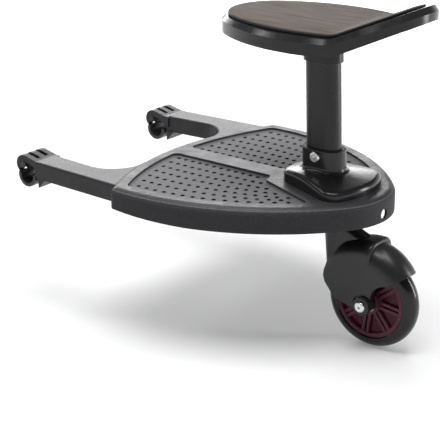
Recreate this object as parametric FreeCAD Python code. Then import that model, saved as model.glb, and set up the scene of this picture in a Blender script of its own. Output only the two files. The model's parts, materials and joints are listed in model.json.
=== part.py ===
import FreeCAD, Part
import math
import os

# Buggy board with seat. Frame: +X to the rear, +Y to the right in the direction of travel, +Z up.
# The origin is midway between the two axle hooks, on the axis of the axle tube that they hold. Millimetres.

V = FreeCAD.Vector
X_AXIS = V(1, 0, 0)
Y_AXIS = V(0, 1, 0)
Z_AXIS = V(0, 0, 1)

# Axle hooks
AXLE_TUBE_R = 10.0          # radius of the hook's bore
HOOK_WALL = 4.0
HOOK_WIDTH = 36.0
HOOK_INNER_Y = 105.0        # hooks' inner faces, from the middle plane
HOOK_TIP_ANGLE = 158.0      # the ring runs up to here before it is cut back round the knuckle
HOOK_BACK_ANGLE = 370.0
HOOK_LINK_ANGLE = 28.0
PIN_X = -5.0
PIN_Z = 13.5
PIN_R = 2.5
PIN_HEAD_R = 4.0
PIN_HEAD_T = 1.5
PIN_CLIP_R = 4.0
PIN_CLIP_T = 1.6
PIN_END = 1.0               # pin's end beyond its clip
KNUCKLE_R = 12.0
KNUCKLE_SLOPE_ANGLE = 70.0
HOOK_FINGER_R = 7.5
HOOK_FINGER_W = 5.3
KNUCKLE_SLOT_W = 6.0
KNUCKLE_SLOT_END_X = 11.0    # slots are open at the top as far back as this
HOOK_BACK_SWING = 10.0      # degrees that the hook turns back towards the arm
HOOK_SPARE_SWING = 2.0
HOOK_GAP = 0.8

# Arms
ARM_TOP = 21.0
ARM_HEIGHT = 21.0
ARM_WALL = 3.0
ARM_END_X = 15.5
ARM_TIP_INNER_Y = 104.5
ARM_ROOT_X = 152.0
ARM_ROOT_OUTER_Y = 149.0
ARM_FLARE_X = 80.0
ARM_FLARE_Y = 111.0
ARM_FLARE_END_Y = 60.0
ARM_RIB_COUNT = 3
ARM_RIB_T = 2.4
ARM_EDGE_R = 3.0
FIN_DEPTH = 12.0
FIN_LENGTH = 12.5
FIN_SETBACK = 2.5
TONGUE_T = 8.0
TONGUE_W = 30.0
TONGUE_Y = 121.0
TONGUE_END_X = 234.0
TONGUE_ROOT = 26.0          # tongue's length inside the arm

# Deck
DECK_TOP = 23.0
DECK_HEIGHT = 29.0
DECK_PLATE = 5.5
DECK_WALL = 3.0
DECK_EDGE_R = 9.0
DECK_FRONT_X = 113.5
DECK_FRONT_R = 345.0
DECK_CORNER_R = 11.0
DECK_SIDE_R = 280.0
DECK_REAR_X = 422.0
DECK_REAR_R = 86.0
DECK_REAR_ANGLE = 37.0
SKIRT_RISE = 6.5            # skirt's lower edge at the front, above its level part
SKIRT_LEVEL_X = 265.0
DECK_RIB_T = 2.5
DECK_RIB_RISE = 4.0         # ribs stop this far above the skirt's lower edge
DECK_CROSS_RIBS = 3
DECK_CROSS_RIB_START = 70.0
DECK_CROSS_RIB_PITCH = 55.0
PANEL_DEPTH = 3.0
PANEL_BORDER = 18.0
PANEL_FRONT_BORDER = 17.5
PANEL_STRIP = 28.0
PANEL_CORNER_R = 8.0
PANEL_SOCKET_GAP = 15.0
STRAP_HOLE_R = 6.25
STRAP_HOLE_Z = 3.0
STRAP_HOLE_ROOM = 14.0      # clear of ribs behind the hole, from the deck's rear edge

# Seat socket and post
POST_X = 341.0
POST_LENGTH_X = 43.0
POST_WIDTH = 26.0
POST_WALL = 2.5
POST_CAP_T = 5.0
POST_LEAN = 0.04            # forward lean, per unit of height
POST_CLEAR = 0.3
COLLAR_WALL = 4.7
COLLAR_TOP = 67.0
SOCKET_FRONT = 48.0         # socket's front edge, ahead of the post's axis
SOCKET_FRONT_HALF = 20.0
SOCKET_SIDE = 36.0
SOCKET_SIDE_HALF = 56.0
SOCKET_REAR = 61.0          # socket's rear edge, behind the post's axis
SOCKET_REAR_R = 90.0
SOCKET_CORNER_R = 19.0
SOCKET_RIM_R = 6.5
SOCKET_FOOT_R = 5.0         # hollow round the collar's foot
SOCKET_CROWN_Z = 42.5
SOCKET_EDGE_Z = 31.0
SOCKET_FLOOR_T = 3.5
POST_BOLT_Z = 59.0

# Seat
SEAT_X = 338.5
SEAT_LENGTH = 260.0
SEAT_WIDTH = 173.0
SEAT_END_R = 66.0
SEAT_TOP = 212.0
SEAT_RIM = 18.5
SEAT_PLATE = 4.0
SEAT_WALL = 3.5
SEAT_BEVEL = 5.0
SEAT_BEND_X = 383.0
SEAT_BEND_R = 25.0
SEAT_LIP_ANGLE = 23.5       # rear lip's rise, in degrees
SEAT_UNDER_BEND_R = 43.5
SEAT_UNDER_ANGLE = 25.0
SEAT_COLLAR_Z = 168.0
SEAT_COLLAR_WALL = 2.4
PAD_T = 4.0
PAD_X = 334.2
PAD_LENGTH = 238.4
PAD_WIDTH = 148.0
PAD_END_R = 57.0
PAD_EDGE_R = 1.5
PAD_GLUE = 0.1

# Caster
WHEEL_X = 413.5
WHEEL_R = 57.5
FLOOR_Z = -160.5
TYRE_W = 26.0
RIM_R = 44.0
RIM_RING_T = 5.5
RIM_W = 22.0
RIM_WEB_T = 13.0
RIM_GROOVE = 1.2
SPOKE_PAIRS = 8
SPOKE_T = 3.6
SPOKE_TURN = 7.0            # degrees from level to the first pair
SPOKE_INSET = 1.0
SPOKE_PITCH = 6.0           # between the two ribs of a pair
HUB_R = 14.5
HUB_W = 30.0
BEARING_R = 11.0
BEARING_W = 7.0
BEARING_RACE = 2.0
BEARING_SHIELD_DEPTH = 0.5
SLEEVE_R = 4.0
AXLE_R = 3.0
NUT_FLATS = 10.0
NUT_T = 5.0
NUT_BEVEL = 0.9             # outer face's radius, as a share of the corner radius
BOLT_HEAD_R = 6.4
BOLT_HEAD_T = 3.5
BOLT_DRIVE_R = 1.8
STEM_X = 359.0
STEM_R = 6.0
STEM_GROOVE_R = 5.0
STEM_BOTTOM = -52.0
BUSH_WALL = 2.0
BUSH_FLANGE_R = 11.0
BUSH_FLANGE_T = 1.5
SWIVEL_BOSS_R = 16.0
SWIVEL_BOSS_DROP = 2.0
SWIVEL_WASHER_T = 1.5
CLIP_R = 9.0
CLIP_T = 1.5
CLIP_MOUTH = 5.0
NECK_TOP_R = 15.0
NECK_BOTTOM_R = 9.5
NECK_BOTTOM = -76.0
SHOULDER_HALF = 11.0        # web between the neck's rear side and the hood's top
SHOULDER_END = 10.0         # its end, ahead of the wheel's axis
SHOULDER_ROUND_R = 7.0
HOOD_R = 74.5
HOOD_HALF = 26.0
HOOD_ROUND_R = 17.0
HOOD_END = 8.0              # hood's rear step, behind the wheel's axis, at its top and at its foot
HOOD_END_FOOT = 3.0
HOOD_END_ROUND_R = 4.0
HOOD_FRONT = (                # hood's front and cheek edge, from the wheel's axis
    (-27.5, 77.0), (-50.5, 44.0), (-54.0, 31.0), (-54.5, 24.0), (-52.0, 17.0), (-46.5, 10.0), (-38.5, 0.0),
    (-12.5, -6.0),
)
FENDER_R = 62.4
FENDER_AHEAD = 5.0          # fender's centre, ahead of the wheel's axis and above it
FENDER_ABOVE = 9.0
FENDER_HALF = 26.0
FENDER_ROUND_R = 25.0
FENDER_TIP_ANGLE = 39.0
FENDER_KNEE_R = 43.0        # lower edge of the fender's cheek: knee and waist, about the axle
FENDER_KNEE_ANGLE = 45.0
FENDER_WAIST_R = 23.0
FENDER_WAIST_ANGLE = 58.0
WHEEL_WELL_R = 61.5
WHEEL_WELL_HALF = 18.0
WHEEL_WELL_ROUND_R = 12.0
AXLE_BOSS_R = 10.5
BOSS_FRONT_ANGLE = 262.0
BOSS_REAR_ANGLE = 20.0
AXLE_BOSS_Y = 30.0
AXLE_BOSS_GROOVE = 2.5
AXLE_BOSS_GROOVE_T = 3.0

# Screws
SCREW_R = 2.4
SCREW_HEAD_R = 4.5
SCREW_HEAD_T = 3.0
SCREW_BOSS_R = 6.0
ARM_SCREW_LENGTH = 13.0
ARM_SCREW_INSET = 32.0      # first screw, behind the arm's root
SOCKET_SCREW_LENGTH = 15.0
SOCKET_SCREW_INSET = 17.0
SCREW_TIP_ROOM = 1.0
SEAT_SCREW_R = 3.0
SEAT_SCREW_HEAD_R = 5.5
SEAT_SCREW_LENGTH = 12.0
SEAT_SCREW_PITCH = 22.0
BOLT_R = 3.0

# Clearances
RUN_CLEAR = 0.05            # running fits, on the radius
HOLE_CLEAR = 0.15           # bolts in holes, on the radius
SCREW_CLEAR = 0.05
FIT_GAP = 0.3
OVER = 1.0                  # cutting tools run this far past a face
WELD = 0.5                  # fused pieces sink this far into each other
FAR = 500.0                 # beyond the object on every side

WHEEL_Z = FLOOR_Z + WHEEL_R
DECK_BOTTOM = DECK_TOP - DECK_HEIGHT
DECK_UNDER = DECK_TOP - DECK_PLATE
TONGUE_TOP = DECK_UNDER - SCREW_BOSS_R
ARM_BOTTOM = ARM_TOP - ARM_HEIGHT
DECK_FRONT_CX = DECK_FRONT_X + DECK_FRONT_R
DECK_REAR_CX = DECK_REAR_X - DECK_REAR_R
HOOK_OUTER_Y = HOOK_INNER_Y + HOOK_WIDTH
HOOK_R = AXLE_TUBE_R + HOOK_WALL
BOSS_BOTTOM = DECK_BOTTOM - SWIVEL_BOSS_DROP
NECK_TOP = BOSS_BOTTOM - BUSH_FLANGE_T - SWIVEL_WASHER_T
SLEEVE_HALF = HUB_W / 2 + BUSH_FLANGE_T
TYRE_SHOULDER_R = WHEEL_R - RIM_R - RIM_GROOVE
SIDES = {"left": -1, "right": 1}


def polar(centre, radius, degrees):
    """Point at an angle on a circle in plan or in side view, as a pair."""
    angle = math.radians(degrees)
    return (centre[0] + radius * math.cos(angle), centre[1] + radius * math.sin(angle))


def in_plan(point, height=0.0):
    return V(point[0], point[1], height)


def in_side(point, y=0.0):
    return V(point[0], y, point[1])


def line(a, b, place):
    return Part.makeLine(place(a), place(b))


def arc(centre, radius, start, end, place):
    """Arc from one angle to another, through the angle halfway."""
    points = [place(polar(centre, radius, t)) for t in (start, (start + end) / 2, end)]
    return Part.Arc(*points).toShape()


def face_of(edges):
    return Part.Face(Part.Wire(Part.__sortEdges__(edges)))


def polygon(points, place):
    loop = list(points) + [points[0]]
    return face_of([line(a, b, place) for a, b in zip(loop, loop[1:])])


def upright(face, bottom, top):
    """Prism of a plan face between two heights."""
    solid = face.extrude(V(0, 0, top - bottom))
    solid.translate(V(0, 0, bottom))
    return solid


def across(face, low_y, high_y):
    """Prism of a side-view face between two distances from the middle plane."""
    solid = face.extrude(V(0, high_y - low_y, 0))
    solid.translate(V(0, low_y, 0))
    return solid


def round_bar(radius, start, axis, length):
    return Part.makeCylinder(radius, length, start, axis)


def box(low, high):
    return Part.makeBox(high[0] - low[0], high[1] - low[1], high[2] - low[2], V(*low))


def stadium(centre_x, length, width):
    """Plan face with two straight sides and round ends, long in X."""
    r = width / 2
    reach = length / 2 - r
    front = (centre_x - reach, 0)
    rear = (centre_x + reach, 0)
    return face_of([
        line((front[0], -r), (rear[0], -r), in_plan),
        arc(rear, r, -90, 90, in_plan),
        line((rear[0], r), (front[0], r), in_plan),
        arc(front, r, 90, 270, in_plan),
    ])


def post_x(height):
    """Post's axis at a height; the post leans forward."""
    return POST_X - (height - DECK_TOP) * POST_LEAN


def leaning(length, width, bottom, top):
    """Oval prism along the leaning post's axis, cut level at both ends."""
    solid = stadium(post_x(bottom), length, width).extrude(V(post_x(top) - post_x(bottom), 0, top - bottom))
    solid.translate(V(0, 0, bottom))
    return solid


def mirrored(shape):
    return shape.mirror(V(0, 0, 0), Y_AXIS)


def upright_edges(solid):
    """Straight vertical edges of a solid."""
    found = []
    for edge in solid.Edges:
        box_of = edge.BoundBox
        if box_of.ZLength > 0.5 and box_of.XLength < 1e-6 and box_of.YLength < 1e-6:
            found.append(edge)
    return found


def edges_at_height(solid, height):
    return [e for e in solid.Edges if abs(e.BoundBox.ZMin - height) < 1e-4 and e.BoundBox.ZLength < 1e-4]


def edges_across(solid, y):
    """Edges that lie in an upright plane at a distance from the middle plane."""
    flat = [e for e in solid.Edges if e.BoundBox.YLength < 1e-4]
    return [e for e in flat if abs(e.BoundBox.YMin - y) < 1e-4]


def circle_meeting(c1, r1, c2, r2):
    """Right-hand meeting point of two circles in plan."""
    dx = c2[0] - c1[0]
    dy = c2[1] - c1[1]
    gap = math.hypot(dx, dy)
    along = (gap * gap + r1 * r1 - r2 * r2) / (2 * gap)
    off = math.sqrt(r1 * r1 - along * along)
    options = []
    for sign in (-1, 1):
        x = c1[0] + (along * dx - sign * off * dy) / gap
        y = c1[1] + (along * dy + sign * off * dx) / gap
        options.append((x, y))
    return max(options, key=lambda p: p[1])


def heading(centre, point):
    return math.degrees(math.atan2(point[1] - centre[1], point[0] - centre[0]))


def deck_side_centre():
    """Centre of the deck's right side arc, which runs on smoothly from the rear arc."""
    return polar((DECK_REAR_CX, 0), DECK_REAR_R - DECK_SIDE_R, DECK_REAR_ANGLE)


def deck_outline(inset):
    """Deck's plan outline, moved in by an even inset: front arc, two corners, two side arcs, rear arc."""
    front_c = (DECK_FRONT_CX, 0)
    rear_c = (DECK_REAR_CX, 0)
    side_c = deck_side_centre()
    corner_c = circle_meeting(front_c, DECK_FRONT_R - DECK_CORNER_R, side_c, DECK_SIDE_R - DECK_CORNER_R)
    front_angle = heading(front_c, corner_c)
    side_angle = heading(side_c, corner_c)
    corner_r = DECK_CORNER_R - inset
    right = [
        arc(corner_c, corner_r, side_angle, front_angle, in_plan),
        arc(side_c, DECK_SIDE_R - inset, DECK_REAR_ANGLE, side_angle, in_plan),
    ]
    left = [mirrored(edge) for edge in right]
    front = arc(front_c, DECK_FRONT_R - inset, front_angle, 360 - front_angle, in_plan)
    rear = arc(rear_c, DECK_REAR_R - inset, -DECK_REAR_ANGLE, DECK_REAR_ANGLE, in_plan)
    return face_of(right + left + [front, rear])


def socket_outline(gap):
    """Socket's plan: narrow front edge, spreading sides, rear arc."""
    side_slope = (SOCKET_SIDE_HALF - SOCKET_FRONT_HALF) / (SOCKET_FRONT + SOCKET_SIDE)
    spread = gap * math.hypot(1, side_slope) - gap * side_slope
    front_x = POST_X - SOCKET_FRONT - gap
    front_half = SOCKET_FRONT_HALF + spread
    rear_r = SOCKET_REAR_R + gap
    rear_c = (POST_X + SOCKET_REAR - SOCKET_REAR_R, 0)
    start = V(front_x, front_half, 0)
    along = V(1, side_slope, 0).normalize()
    from_c = start - V(rear_c[0], 0, 0)
    half_b = from_c.dot(along)
    reach = -half_b + math.sqrt(half_b * half_b - from_c.dot(from_c) + rear_r * rear_r)
    corner = start + along * reach
    corner_angle = heading(rear_c, (corner.x, corner.y))
    return face_of([
        line((front_x, -front_half), (front_x, front_half), in_plan),
        line((front_x, front_half), (corner.x, corner.y), in_plan),
        arc(rear_c, rear_r, corner_angle, -corner_angle, in_plan),
        line((corner.x, -corner.y), (front_x, -front_half), in_plan),
    ])


def tread_panel():
    """Right tread panel's recess."""
    bottom = DECK_TOP - PANEL_DEPTH
    top = DECK_TOP + OVER
    front_c = V(DECK_FRONT_CX, 0, bottom)
    side_c = in_plan(deck_side_centre(), bottom)
    panel = round_bar(DECK_FRONT_R - PANEL_FRONT_BORDER, front_c, Z_AXIS, top - bottom)
    panel = panel.common(round_bar(DECK_SIDE_R - PANEL_BORDER, side_c, Z_AXIS, top - bottom))
    surround = upright(socket_outline(PANEL_SOCKET_GAP), bottom - OVER, top + OVER)
    strip = box((-FAR, -FAR, bottom - OVER), (FAR, PANEL_STRIP / 2, top + OVER))
    panel = max(panel.cut(surround).cut(strip).Solids, key=lambda s: s.Volume)
    return panel.makeFillet(PANEL_CORNER_R, upright_edges(panel))


def tongue(side, gap):
    """Arm's tongue, which passes through the deck's front wall under the deck's bosses."""
    low_y = TONGUE_Y - TONGUE_W / 2 - gap
    high_y = TONGUE_Y + TONGUE_W / 2 + gap
    low = (ARM_ROOT_X - TONGUE_ROOT, low_y, TONGUE_TOP - TONGUE_T - gap)
    high = (TONGUE_END_X + gap, high_y, TONGUE_TOP)
    solid = box(low, high)
    return solid if side > 0 else mirrored(solid)


def arm_screw_spots(side):
    first = ARM_ROOT_X + ARM_SCREW_INSET
    last = TONGUE_END_X - TONGUE_W / 2
    return [(first, side * TONGUE_Y), (last, side * TONGUE_Y)]


def socket_screw_spots():
    front = POST_X - SOCKET_FRONT + SOCKET_SCREW_INSET
    rear = POST_X + SOCKET_SIDE
    rear_half = SOCKET_SIDE_HALF - SOCKET_SCREW_INSET
    front_half = SOCKET_FRONT_HALF - SCREW_R
    return [(front, -front_half), (front, front_half), (rear, -rear_half), (rear, rear_half)]


def deck_ribs():
    """Ribs under the deck, inside the skirt."""
    top = DECK_UNDER + WELD
    bottom = DECK_BOTTOM + DECK_RIB_RISE
    half = DECK_RIB_T / 2
    ribs = []
    for y in (-DECK_REAR_R, -DECK_REAR_R / 2, 0, DECK_REAR_R / 2, DECK_REAR_R):
        ribs.append(box((DECK_FRONT_X, y - half, bottom), (DECK_REAR_X, y + half, top)))
    for index in range(DECK_CROSS_RIBS):
        x = DECK_FRONT_X + DECK_CROSS_RIB_START + DECK_CROSS_RIB_PITCH * index
        ribs.append(box((x - half, -FAR, bottom), (x + half, FAR, top)))
    inside = upright(deck_outline(DECK_WALL / 2), bottom, top)
    room_half = STRAP_HOLE_R + OVER
    room = box(
        (DECK_REAR_X - STRAP_HOLE_ROOM, -room_half, bottom - OVER),
        (DECK_REAR_X, room_half, STRAP_HOLE_Z + room_half),
    )
    return ribs[0].fuse(ribs[1:]).common(inside).cut(room)


def deck_blank(gap):
    """Deck's outer form with its rounded upper edge, grown by an even gap."""
    top = DECK_TOP + gap
    blank = upright(deck_outline(-gap), DECK_BOTTOM - gap, top)
    return blank.makeFillet(DECK_EDGE_R + gap, edges_at_height(blank, top))


def skirt_cut():
    """What is cut off under the deck's front half, where the skirt's lower edge rises."""
    front_x = DECK_FRONT_X - OVER
    middle_x = (front_x + SKIRT_LEVEL_X) / 2
    front = (front_x, DECK_BOTTOM + SKIRT_RISE)
    middle = (middle_x, DECK_BOTTOM + SKIRT_RISE / 3)
    level = (SKIRT_LEVEL_X, DECK_BOTTOM)
    low = DECK_BOTTOM - OVER
    return across(face_of([
        Part.Arc(in_side(front), in_side(middle), in_side(level)).toShape(),
        line(level, (SKIRT_LEVEL_X, low), in_side),
        line((SKIRT_LEVEL_X, low), (front_x, low), in_side),
        line((front_x, low), front, in_side),
    ]), -FAR, FAR)


def deck_shell():
    """Moulded deck: rounded plate with a skirt, ribs, the swivel boss and screw bosses."""
    hollow = upright(deck_outline(DECK_WALL), DECK_BOTTOM - OVER, DECK_UNDER)
    panel = tread_panel()
    shell = deck_blank(0.0).cut([hollow, panel, mirrored(panel)])
    centre = V(STEM_X, 0, BOSS_BOTTOM)
    boss_height = DECK_UNDER + WELD - BOSS_BOTTOM
    additions = [deck_ribs(), round_bar(SWIVEL_BOSS_R, centre, Z_AXIS, boss_height)]
    for side in SIDES.values():
        for x, y in arm_screw_spots(side):
            foot = V(x, y, TONGUE_TOP)
            additions.append(round_bar(SCREW_BOSS_R, foot, Z_AXIS, SCREW_BOSS_R + WELD))
    shell = shell.fuse(additions)
    bush_hole_r = STEM_R + RUN_CLEAR + BUSH_WALL
    clip_seat = DECK_UNDER - BUSH_FLANGE_T
    removals = [
        round_bar(bush_hole_r, centre, Z_AXIS, FAR),
        round_bar(BUSH_FLANGE_R + FIT_GAP, V(STEM_X, 0, clip_seat), Z_AXIS, FAR),
        round_bar(STRAP_HOLE_R, V(DECK_REAR_X - STRAP_HOLE_ROOM, 0, STRAP_HOLE_Z), X_AXIS, FAR),
        skirt_cut(),
    ]
    for side in SIDES.values():
        removals.append(tongue(side, FIT_GAP))
        for x, y in arm_screw_spots(side):
            foot = V(x, y, TONGUE_TOP - OVER)
            removals.append(round_bar(SCREW_R + SCREW_CLEAR, foot, Z_AXIS, SCREW_BOSS_R + 2 * OVER))
            removals.append(head_room(x, y, TONGUE_TOP - TONGUE_T))
    for x, y in socket_screw_spots():
        removals.append(round_bar(SCREW_R + HOLE_CLEAR, V(x, y, DECK_BOTTOM), Z_AXIS, FAR))
        removals.append(head_room(x, y, DECK_UNDER))
    return shell.cut(removals)


def head_room(x, y, seat_z):
    """Room for a screw's head, from below the deck up to its seat."""
    bottom = DECK_BOTTOM - OVER
    return round_bar(SCREW_HEAD_R + HOLE_CLEAR, V(x, y, bottom), Z_AXIS, seat_z - bottom)


def screw(x, y, seat_z, length):
    """Pan-head screw driven upwards: head below the seat, shank above it."""
    head = round_bar(SCREW_HEAD_R, V(x, y, seat_z - SCREW_HEAD_T), Z_AXIS, SCREW_HEAD_T)
    head = head.makeFillet(SCREW_HEAD_T / 3, edges_at_height(head, seat_z - SCREW_HEAD_T))
    socket = round_bar(BOLT_DRIVE_R, V(x, y, seat_z - SCREW_HEAD_T), Z_AXIS, SCREW_HEAD_T / 2)
    return head.cut(socket).fuse(round_bar(SCREW_R, V(x, y, seat_z), Z_AXIS, length)).removeSplitter()


def arm_screws():
    seat_z = TONGUE_TOP - TONGUE_T
    spots = [spot for side in SIDES.values() for spot in arm_screw_spots(side)]
    return [screw(x, y, seat_z, ARM_SCREW_LENGTH) for x, y in spots]


def socket_screws():
    return [screw(x, y, DECK_UNDER, SOCKET_SCREW_LENGTH) for x, y in socket_screw_spots()]


def finger_bands(for_hook):
    """Spans across the hook's width: two hook fingers between the arm's three knuckle fingers."""
    knuckle_w = (HOOK_WIDTH - 2 * KNUCKLE_SLOT_W) / 3
    spans = []
    for index in (0, 1):
        start = HOOK_INNER_Y + knuckle_w * (index + 1) + KNUCKLE_SLOT_W * index
        slack = (KNUCKLE_SLOT_W - HOOK_FINGER_W) / 2 if for_hook else 0.0
        spans.append((start + slack, start + KNUCKLE_SLOT_W - slack))
    return spans


def arm_plan():
    """Right arm in plan: straight outer edge, inner edge that flares into the deck's front edge."""
    tip_inner = (PIN_X - KNUCKLE_R, ARM_TIP_INNER_Y)
    flare = (ARM_FLARE_X, ARM_FLARE_Y)
    inner_dir = V(flare[0] - tip_inner[0], flare[1] - tip_inner[1], 0).normalize()
    flare_end_x = DECK_FRONT_CX - math.sqrt(DECK_FRONT_R ** 2 - ARM_FLARE_END_Y ** 2)
    end = V(flare_end_x, ARM_FLARE_END_Y, 0)
    start = V(flare[0], flare[1], 0)
    normal = V(inner_dir.y, -inner_dir.x, 0)
    chord = end - start
    radius = chord.dot(chord) / (2 * chord.dot(normal))
    centre = start + normal * radius
    c = (centre.x, centre.y)
    start_angle = heading(c, flare)
    end_angle = heading(c, (end.x, end.y))
    root = (ARM_ROOT_X + 2 * DECK_WALL, ARM_ROOT_OUTER_Y)
    back = (ARM_ROOT_X + 2 * DECK_WALL, ARM_FLARE_END_Y)
    return face_of([
        line(tip_inner, flare, in_plan),
        arc(c, radius, start_angle, end_angle, in_plan),
        line((end.x, end.y), back, in_plan),
        line(back, root, in_plan),
        line(root, (tip_inner[0], HOOK_OUTER_Y), in_plan),
        line((tip_inner[0], HOOK_OUTER_Y), tip_inner, in_plan),
    ])


def knuckle_side():
    """Side view of the arm's nose: the knuckle about the pin, sloping back to the arm's top."""
    slope_start = polar((PIN_X, PIN_Z), KNUCKLE_R, KNUCKLE_SLOPE_ANGLE)
    run = ARM_END_X + 2 * ARM_WALL
    low = PIN_Z - HOOK_FINGER_R + WELD
    return polygon([
        slope_start,
        (ARM_END_X, ARM_TOP),
        (run, ARM_TOP),
        (run, low),
        (PIN_X, low),
        (PIN_X, PIN_Z),
    ], in_side)


def hook_slot():
    """Side view of the room for one hook finger, up to its rearmost swing."""
    pin = V(PIN_X, 0, PIN_Z)
    link = in_side(polar((0, 0), AXLE_TUBE_R + HOOK_WALL / 2, HOOK_LINK_ANGLE)) - pin
    swing = math.radians(HOOK_BACK_SWING + HOOK_SPARE_SWING)
    turned = V(
        link.x * math.cos(swing) - link.z * math.sin(swing),
        0,
        link.x * math.sin(swing) + link.z * math.cos(swing),
    )
    along = V(turned).normalize()
    up = V(-along.z, 0, along.x)
    edge = pin + up * (HOOK_FINGER_R + HOOK_GAP)
    back_x = ARM_END_X + 3 * HOOK_GAP
    drop = (back_x - edge.x) / along.x
    low = edge + along * drop
    roof = edge + along * ((KNUCKLE_SLOT_END_X - edge.x) / along.x)
    front_x = PIN_X - 2 * KNUCKLE_R
    high_z = PIN_Z + 2 * KNUCKLE_R
    return polygon([
        (front_x, high_z), (roof.x, high_z), (roof.x, roof.z), (low.x, low.z), (back_x, -2 * HOOK_R),
        (front_x, -2 * HOOK_R),
    ], in_side)


def arm(side):
    """Arm moulding: channel open underneath, knuckle fingers, strap fin and tongue."""
    body = upright(arm_plan(), ARM_BOTTOM, ARM_TOP)
    body = body.cut(box((-FAR, -FAR, -FAR), (ARM_END_X, FAR, FAR)))
    body = body.makeFillet(ARM_EDGE_R, long_top_edges(body))
    body = body.cut(deck_blank(FIT_GAP))
    body = max(body.Solids, key=lambda s: s.Volume)
    body = body.cut(arm_channel())
    nose = across(knuckle_side(), HOOK_INNER_Y, HOOK_OUTER_Y)
    disc = round_bar(KNUCKLE_R, V(PIN_X, HOOK_INNER_Y, PIN_Z), Y_AXIS, HOOK_WIDTH)
    fin_x = ARM_END_X + FIN_SETBACK
    root_z = ARM_BOTTOM + WELD
    fin = across(polygon([
        (fin_x, root_z), (fin_x + OVER, ARM_BOTTOM - FIN_DEPTH), (fin_x + FIN_LENGTH, root_z),
    ], in_side), HOOK_INNER_Y, HOOK_OUTER_Y)
    body = body.fuse([nose, disc, fin, tongue(1, 0.0)])
    pin = (PIN_X, PIN_Z)
    swing_c = polar(pin, math.hypot(*pin), heading(pin, (0, 0)) + HOOK_BACK_SWING)
    removals = [
        round_bar(AXLE_TUBE_R, V(0, 0, 0), Y_AXIS, FAR),
        round_bar(HOOK_R + HOOK_GAP, in_side(swing_c), Y_AXIS, FAR),
        round_bar(PIN_R + SCREW_CLEAR, in_side(pin), Y_AXIS, FAR),
    ]
    for low, high in finger_bands(False):
        removals.append(across(hook_slot(), low, high))
    for x, y in arm_screw_spots(1):
        removals.append(round_bar(SCREW_R + HOLE_CLEAR, V(x, y, DECK_BOTTOM), Z_AXIS, FAR))
    body = body.cut(removals).removeSplitter()
    body = max(body.Solids, key=lambda s: s.Volume)
    return body if side > 0 else mirrored(body)


def long_top_edges(body):
    """The arm's two long upper edges, outer and inner, with the flare."""
    found = []
    for edge in edges_at_height(body, ARM_TOP):
        reach = edge.BoundBox
        if reach.XMin < ARM_FLARE_X + 1 and reach.XLength > 2 * ARM_EDGE_R:
            found.append(edge)
    return found


def arm_channel():
    """Hollow under the arm, crossed by ribs."""
    shrunk = arm_plan().makeOffset2D(-ARM_WALL)
    tool = upright(shrunk, ARM_BOTTOM - OVER, ARM_TOP - ARM_WALL)
    end_wall = ARM_END_X + 4 * ARM_WALL
    tool = tool.cut(box((-FAR, -FAR, -FAR), (end_wall, FAR, FAR)))
    tool = tool.cut(upright(deck_outline(-FIT_GAP - ARM_WALL), -FAR, FAR))
    pitch = (ARM_ROOT_X - end_wall) / (ARM_RIB_COUNT + 1)
    for index in range(ARM_RIB_COUNT):
        x = end_wall + pitch * (index + 1)
        tool = tool.cut(box((x - ARM_RIB_T / 2, -FAR, -FAR), (x + ARM_RIB_T / 2, FAR, FAR)))
    return tool


def axle_hook(side):
    """C-shaped hook below the pin, with two fingers that reach up between the knuckle's."""
    tip = HOOK_TIP_ANGLE
    back = HOOK_BACK_ANGLE
    middle = (0.0, 0.0)
    ring = face_of([
        arc(middle, HOOK_R, tip, back, in_side),
        line(polar(middle, HOOK_R, back), polar(middle, AXLE_TUBE_R, back), in_side),
        arc(middle, AXLE_TUBE_R, back, tip, in_side),
        line(polar(middle, AXLE_TUBE_R, tip), polar(middle, HOOK_R, tip), in_side),
    ])
    hook = across(ring, HOOK_INNER_Y, HOOK_OUTER_Y)
    hook = hook.cut(round_bar(KNUCKLE_R + HOOK_GAP, V(PIN_X, 0, PIN_Z), Y_AXIS, FAR))
    link = polar(middle, AXLE_TUBE_R + HOOK_WALL / 2, HOOK_LINK_ANGLE)
    link_r = HOOK_WALL
    fingers = []
    for low, high in finger_bands(True):
        fingers.append(across(taper_bar((PIN_X, PIN_Z), HOOK_FINGER_R, link, link_r), low, high))
    bore = round_bar(AXLE_TUBE_R, V(0, 0, 0), Y_AXIS, FAR)
    pin_hole = round_bar(PIN_R + RUN_CLEAR, V(PIN_X, 0, PIN_Z), Y_AXIS, FAR)
    hook = hook.fuse(fingers).cut([bore, pin_hole]).removeSplitter()
    return hook if side > 0 else mirrored(hook)


def taper_bar(a, ra, b, rb):
    """Side-view face of two circles and the strip between their common tangents."""
    gap = math.hypot(b[0] - a[0], b[1] - a[1])
    along = heading(a, b)
    lean = math.degrees(math.acos((ra - rb) / gap))
    up = along + lean
    down = along - lean
    return face_of([
        arc(a, ra, up, down + 360, in_side),
        line(polar(a, ra, down), polar(b, rb, down), in_side),
        arc(b, rb, down, up, in_side),
        line(polar(b, rb, up), polar(a, ra, up), in_side),
    ])


def hook_pin(side):
    """Hinge pin with its head on the outer face."""
    start = HOOK_INNER_Y - PIN_CLIP_T - PIN_END
    shaft = round_bar(PIN_R, V(PIN_X, start, PIN_Z), Y_AXIS, HOOK_OUTER_Y - start)
    head = round_bar(PIN_HEAD_R, V(PIN_X, HOOK_OUTER_Y, PIN_Z), Y_AXIS, PIN_HEAD_T)
    pin = shaft.fuse(head).removeSplitter()
    return pin if side > 0 else mirrored(pin)


def pin_clip(side):
    ring = round_bar(PIN_CLIP_R, V(PIN_X, HOOK_INNER_Y - PIN_CLIP_T, PIN_Z), Y_AXIS, PIN_CLIP_T)
    hole = round_bar(PIN_R + SCREW_CLEAR, V(PIN_X, 0, PIN_Z), Y_AXIS, FAR)
    clip = ring.cut(hole)
    return clip if side > 0 else mirrored(clip)


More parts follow.
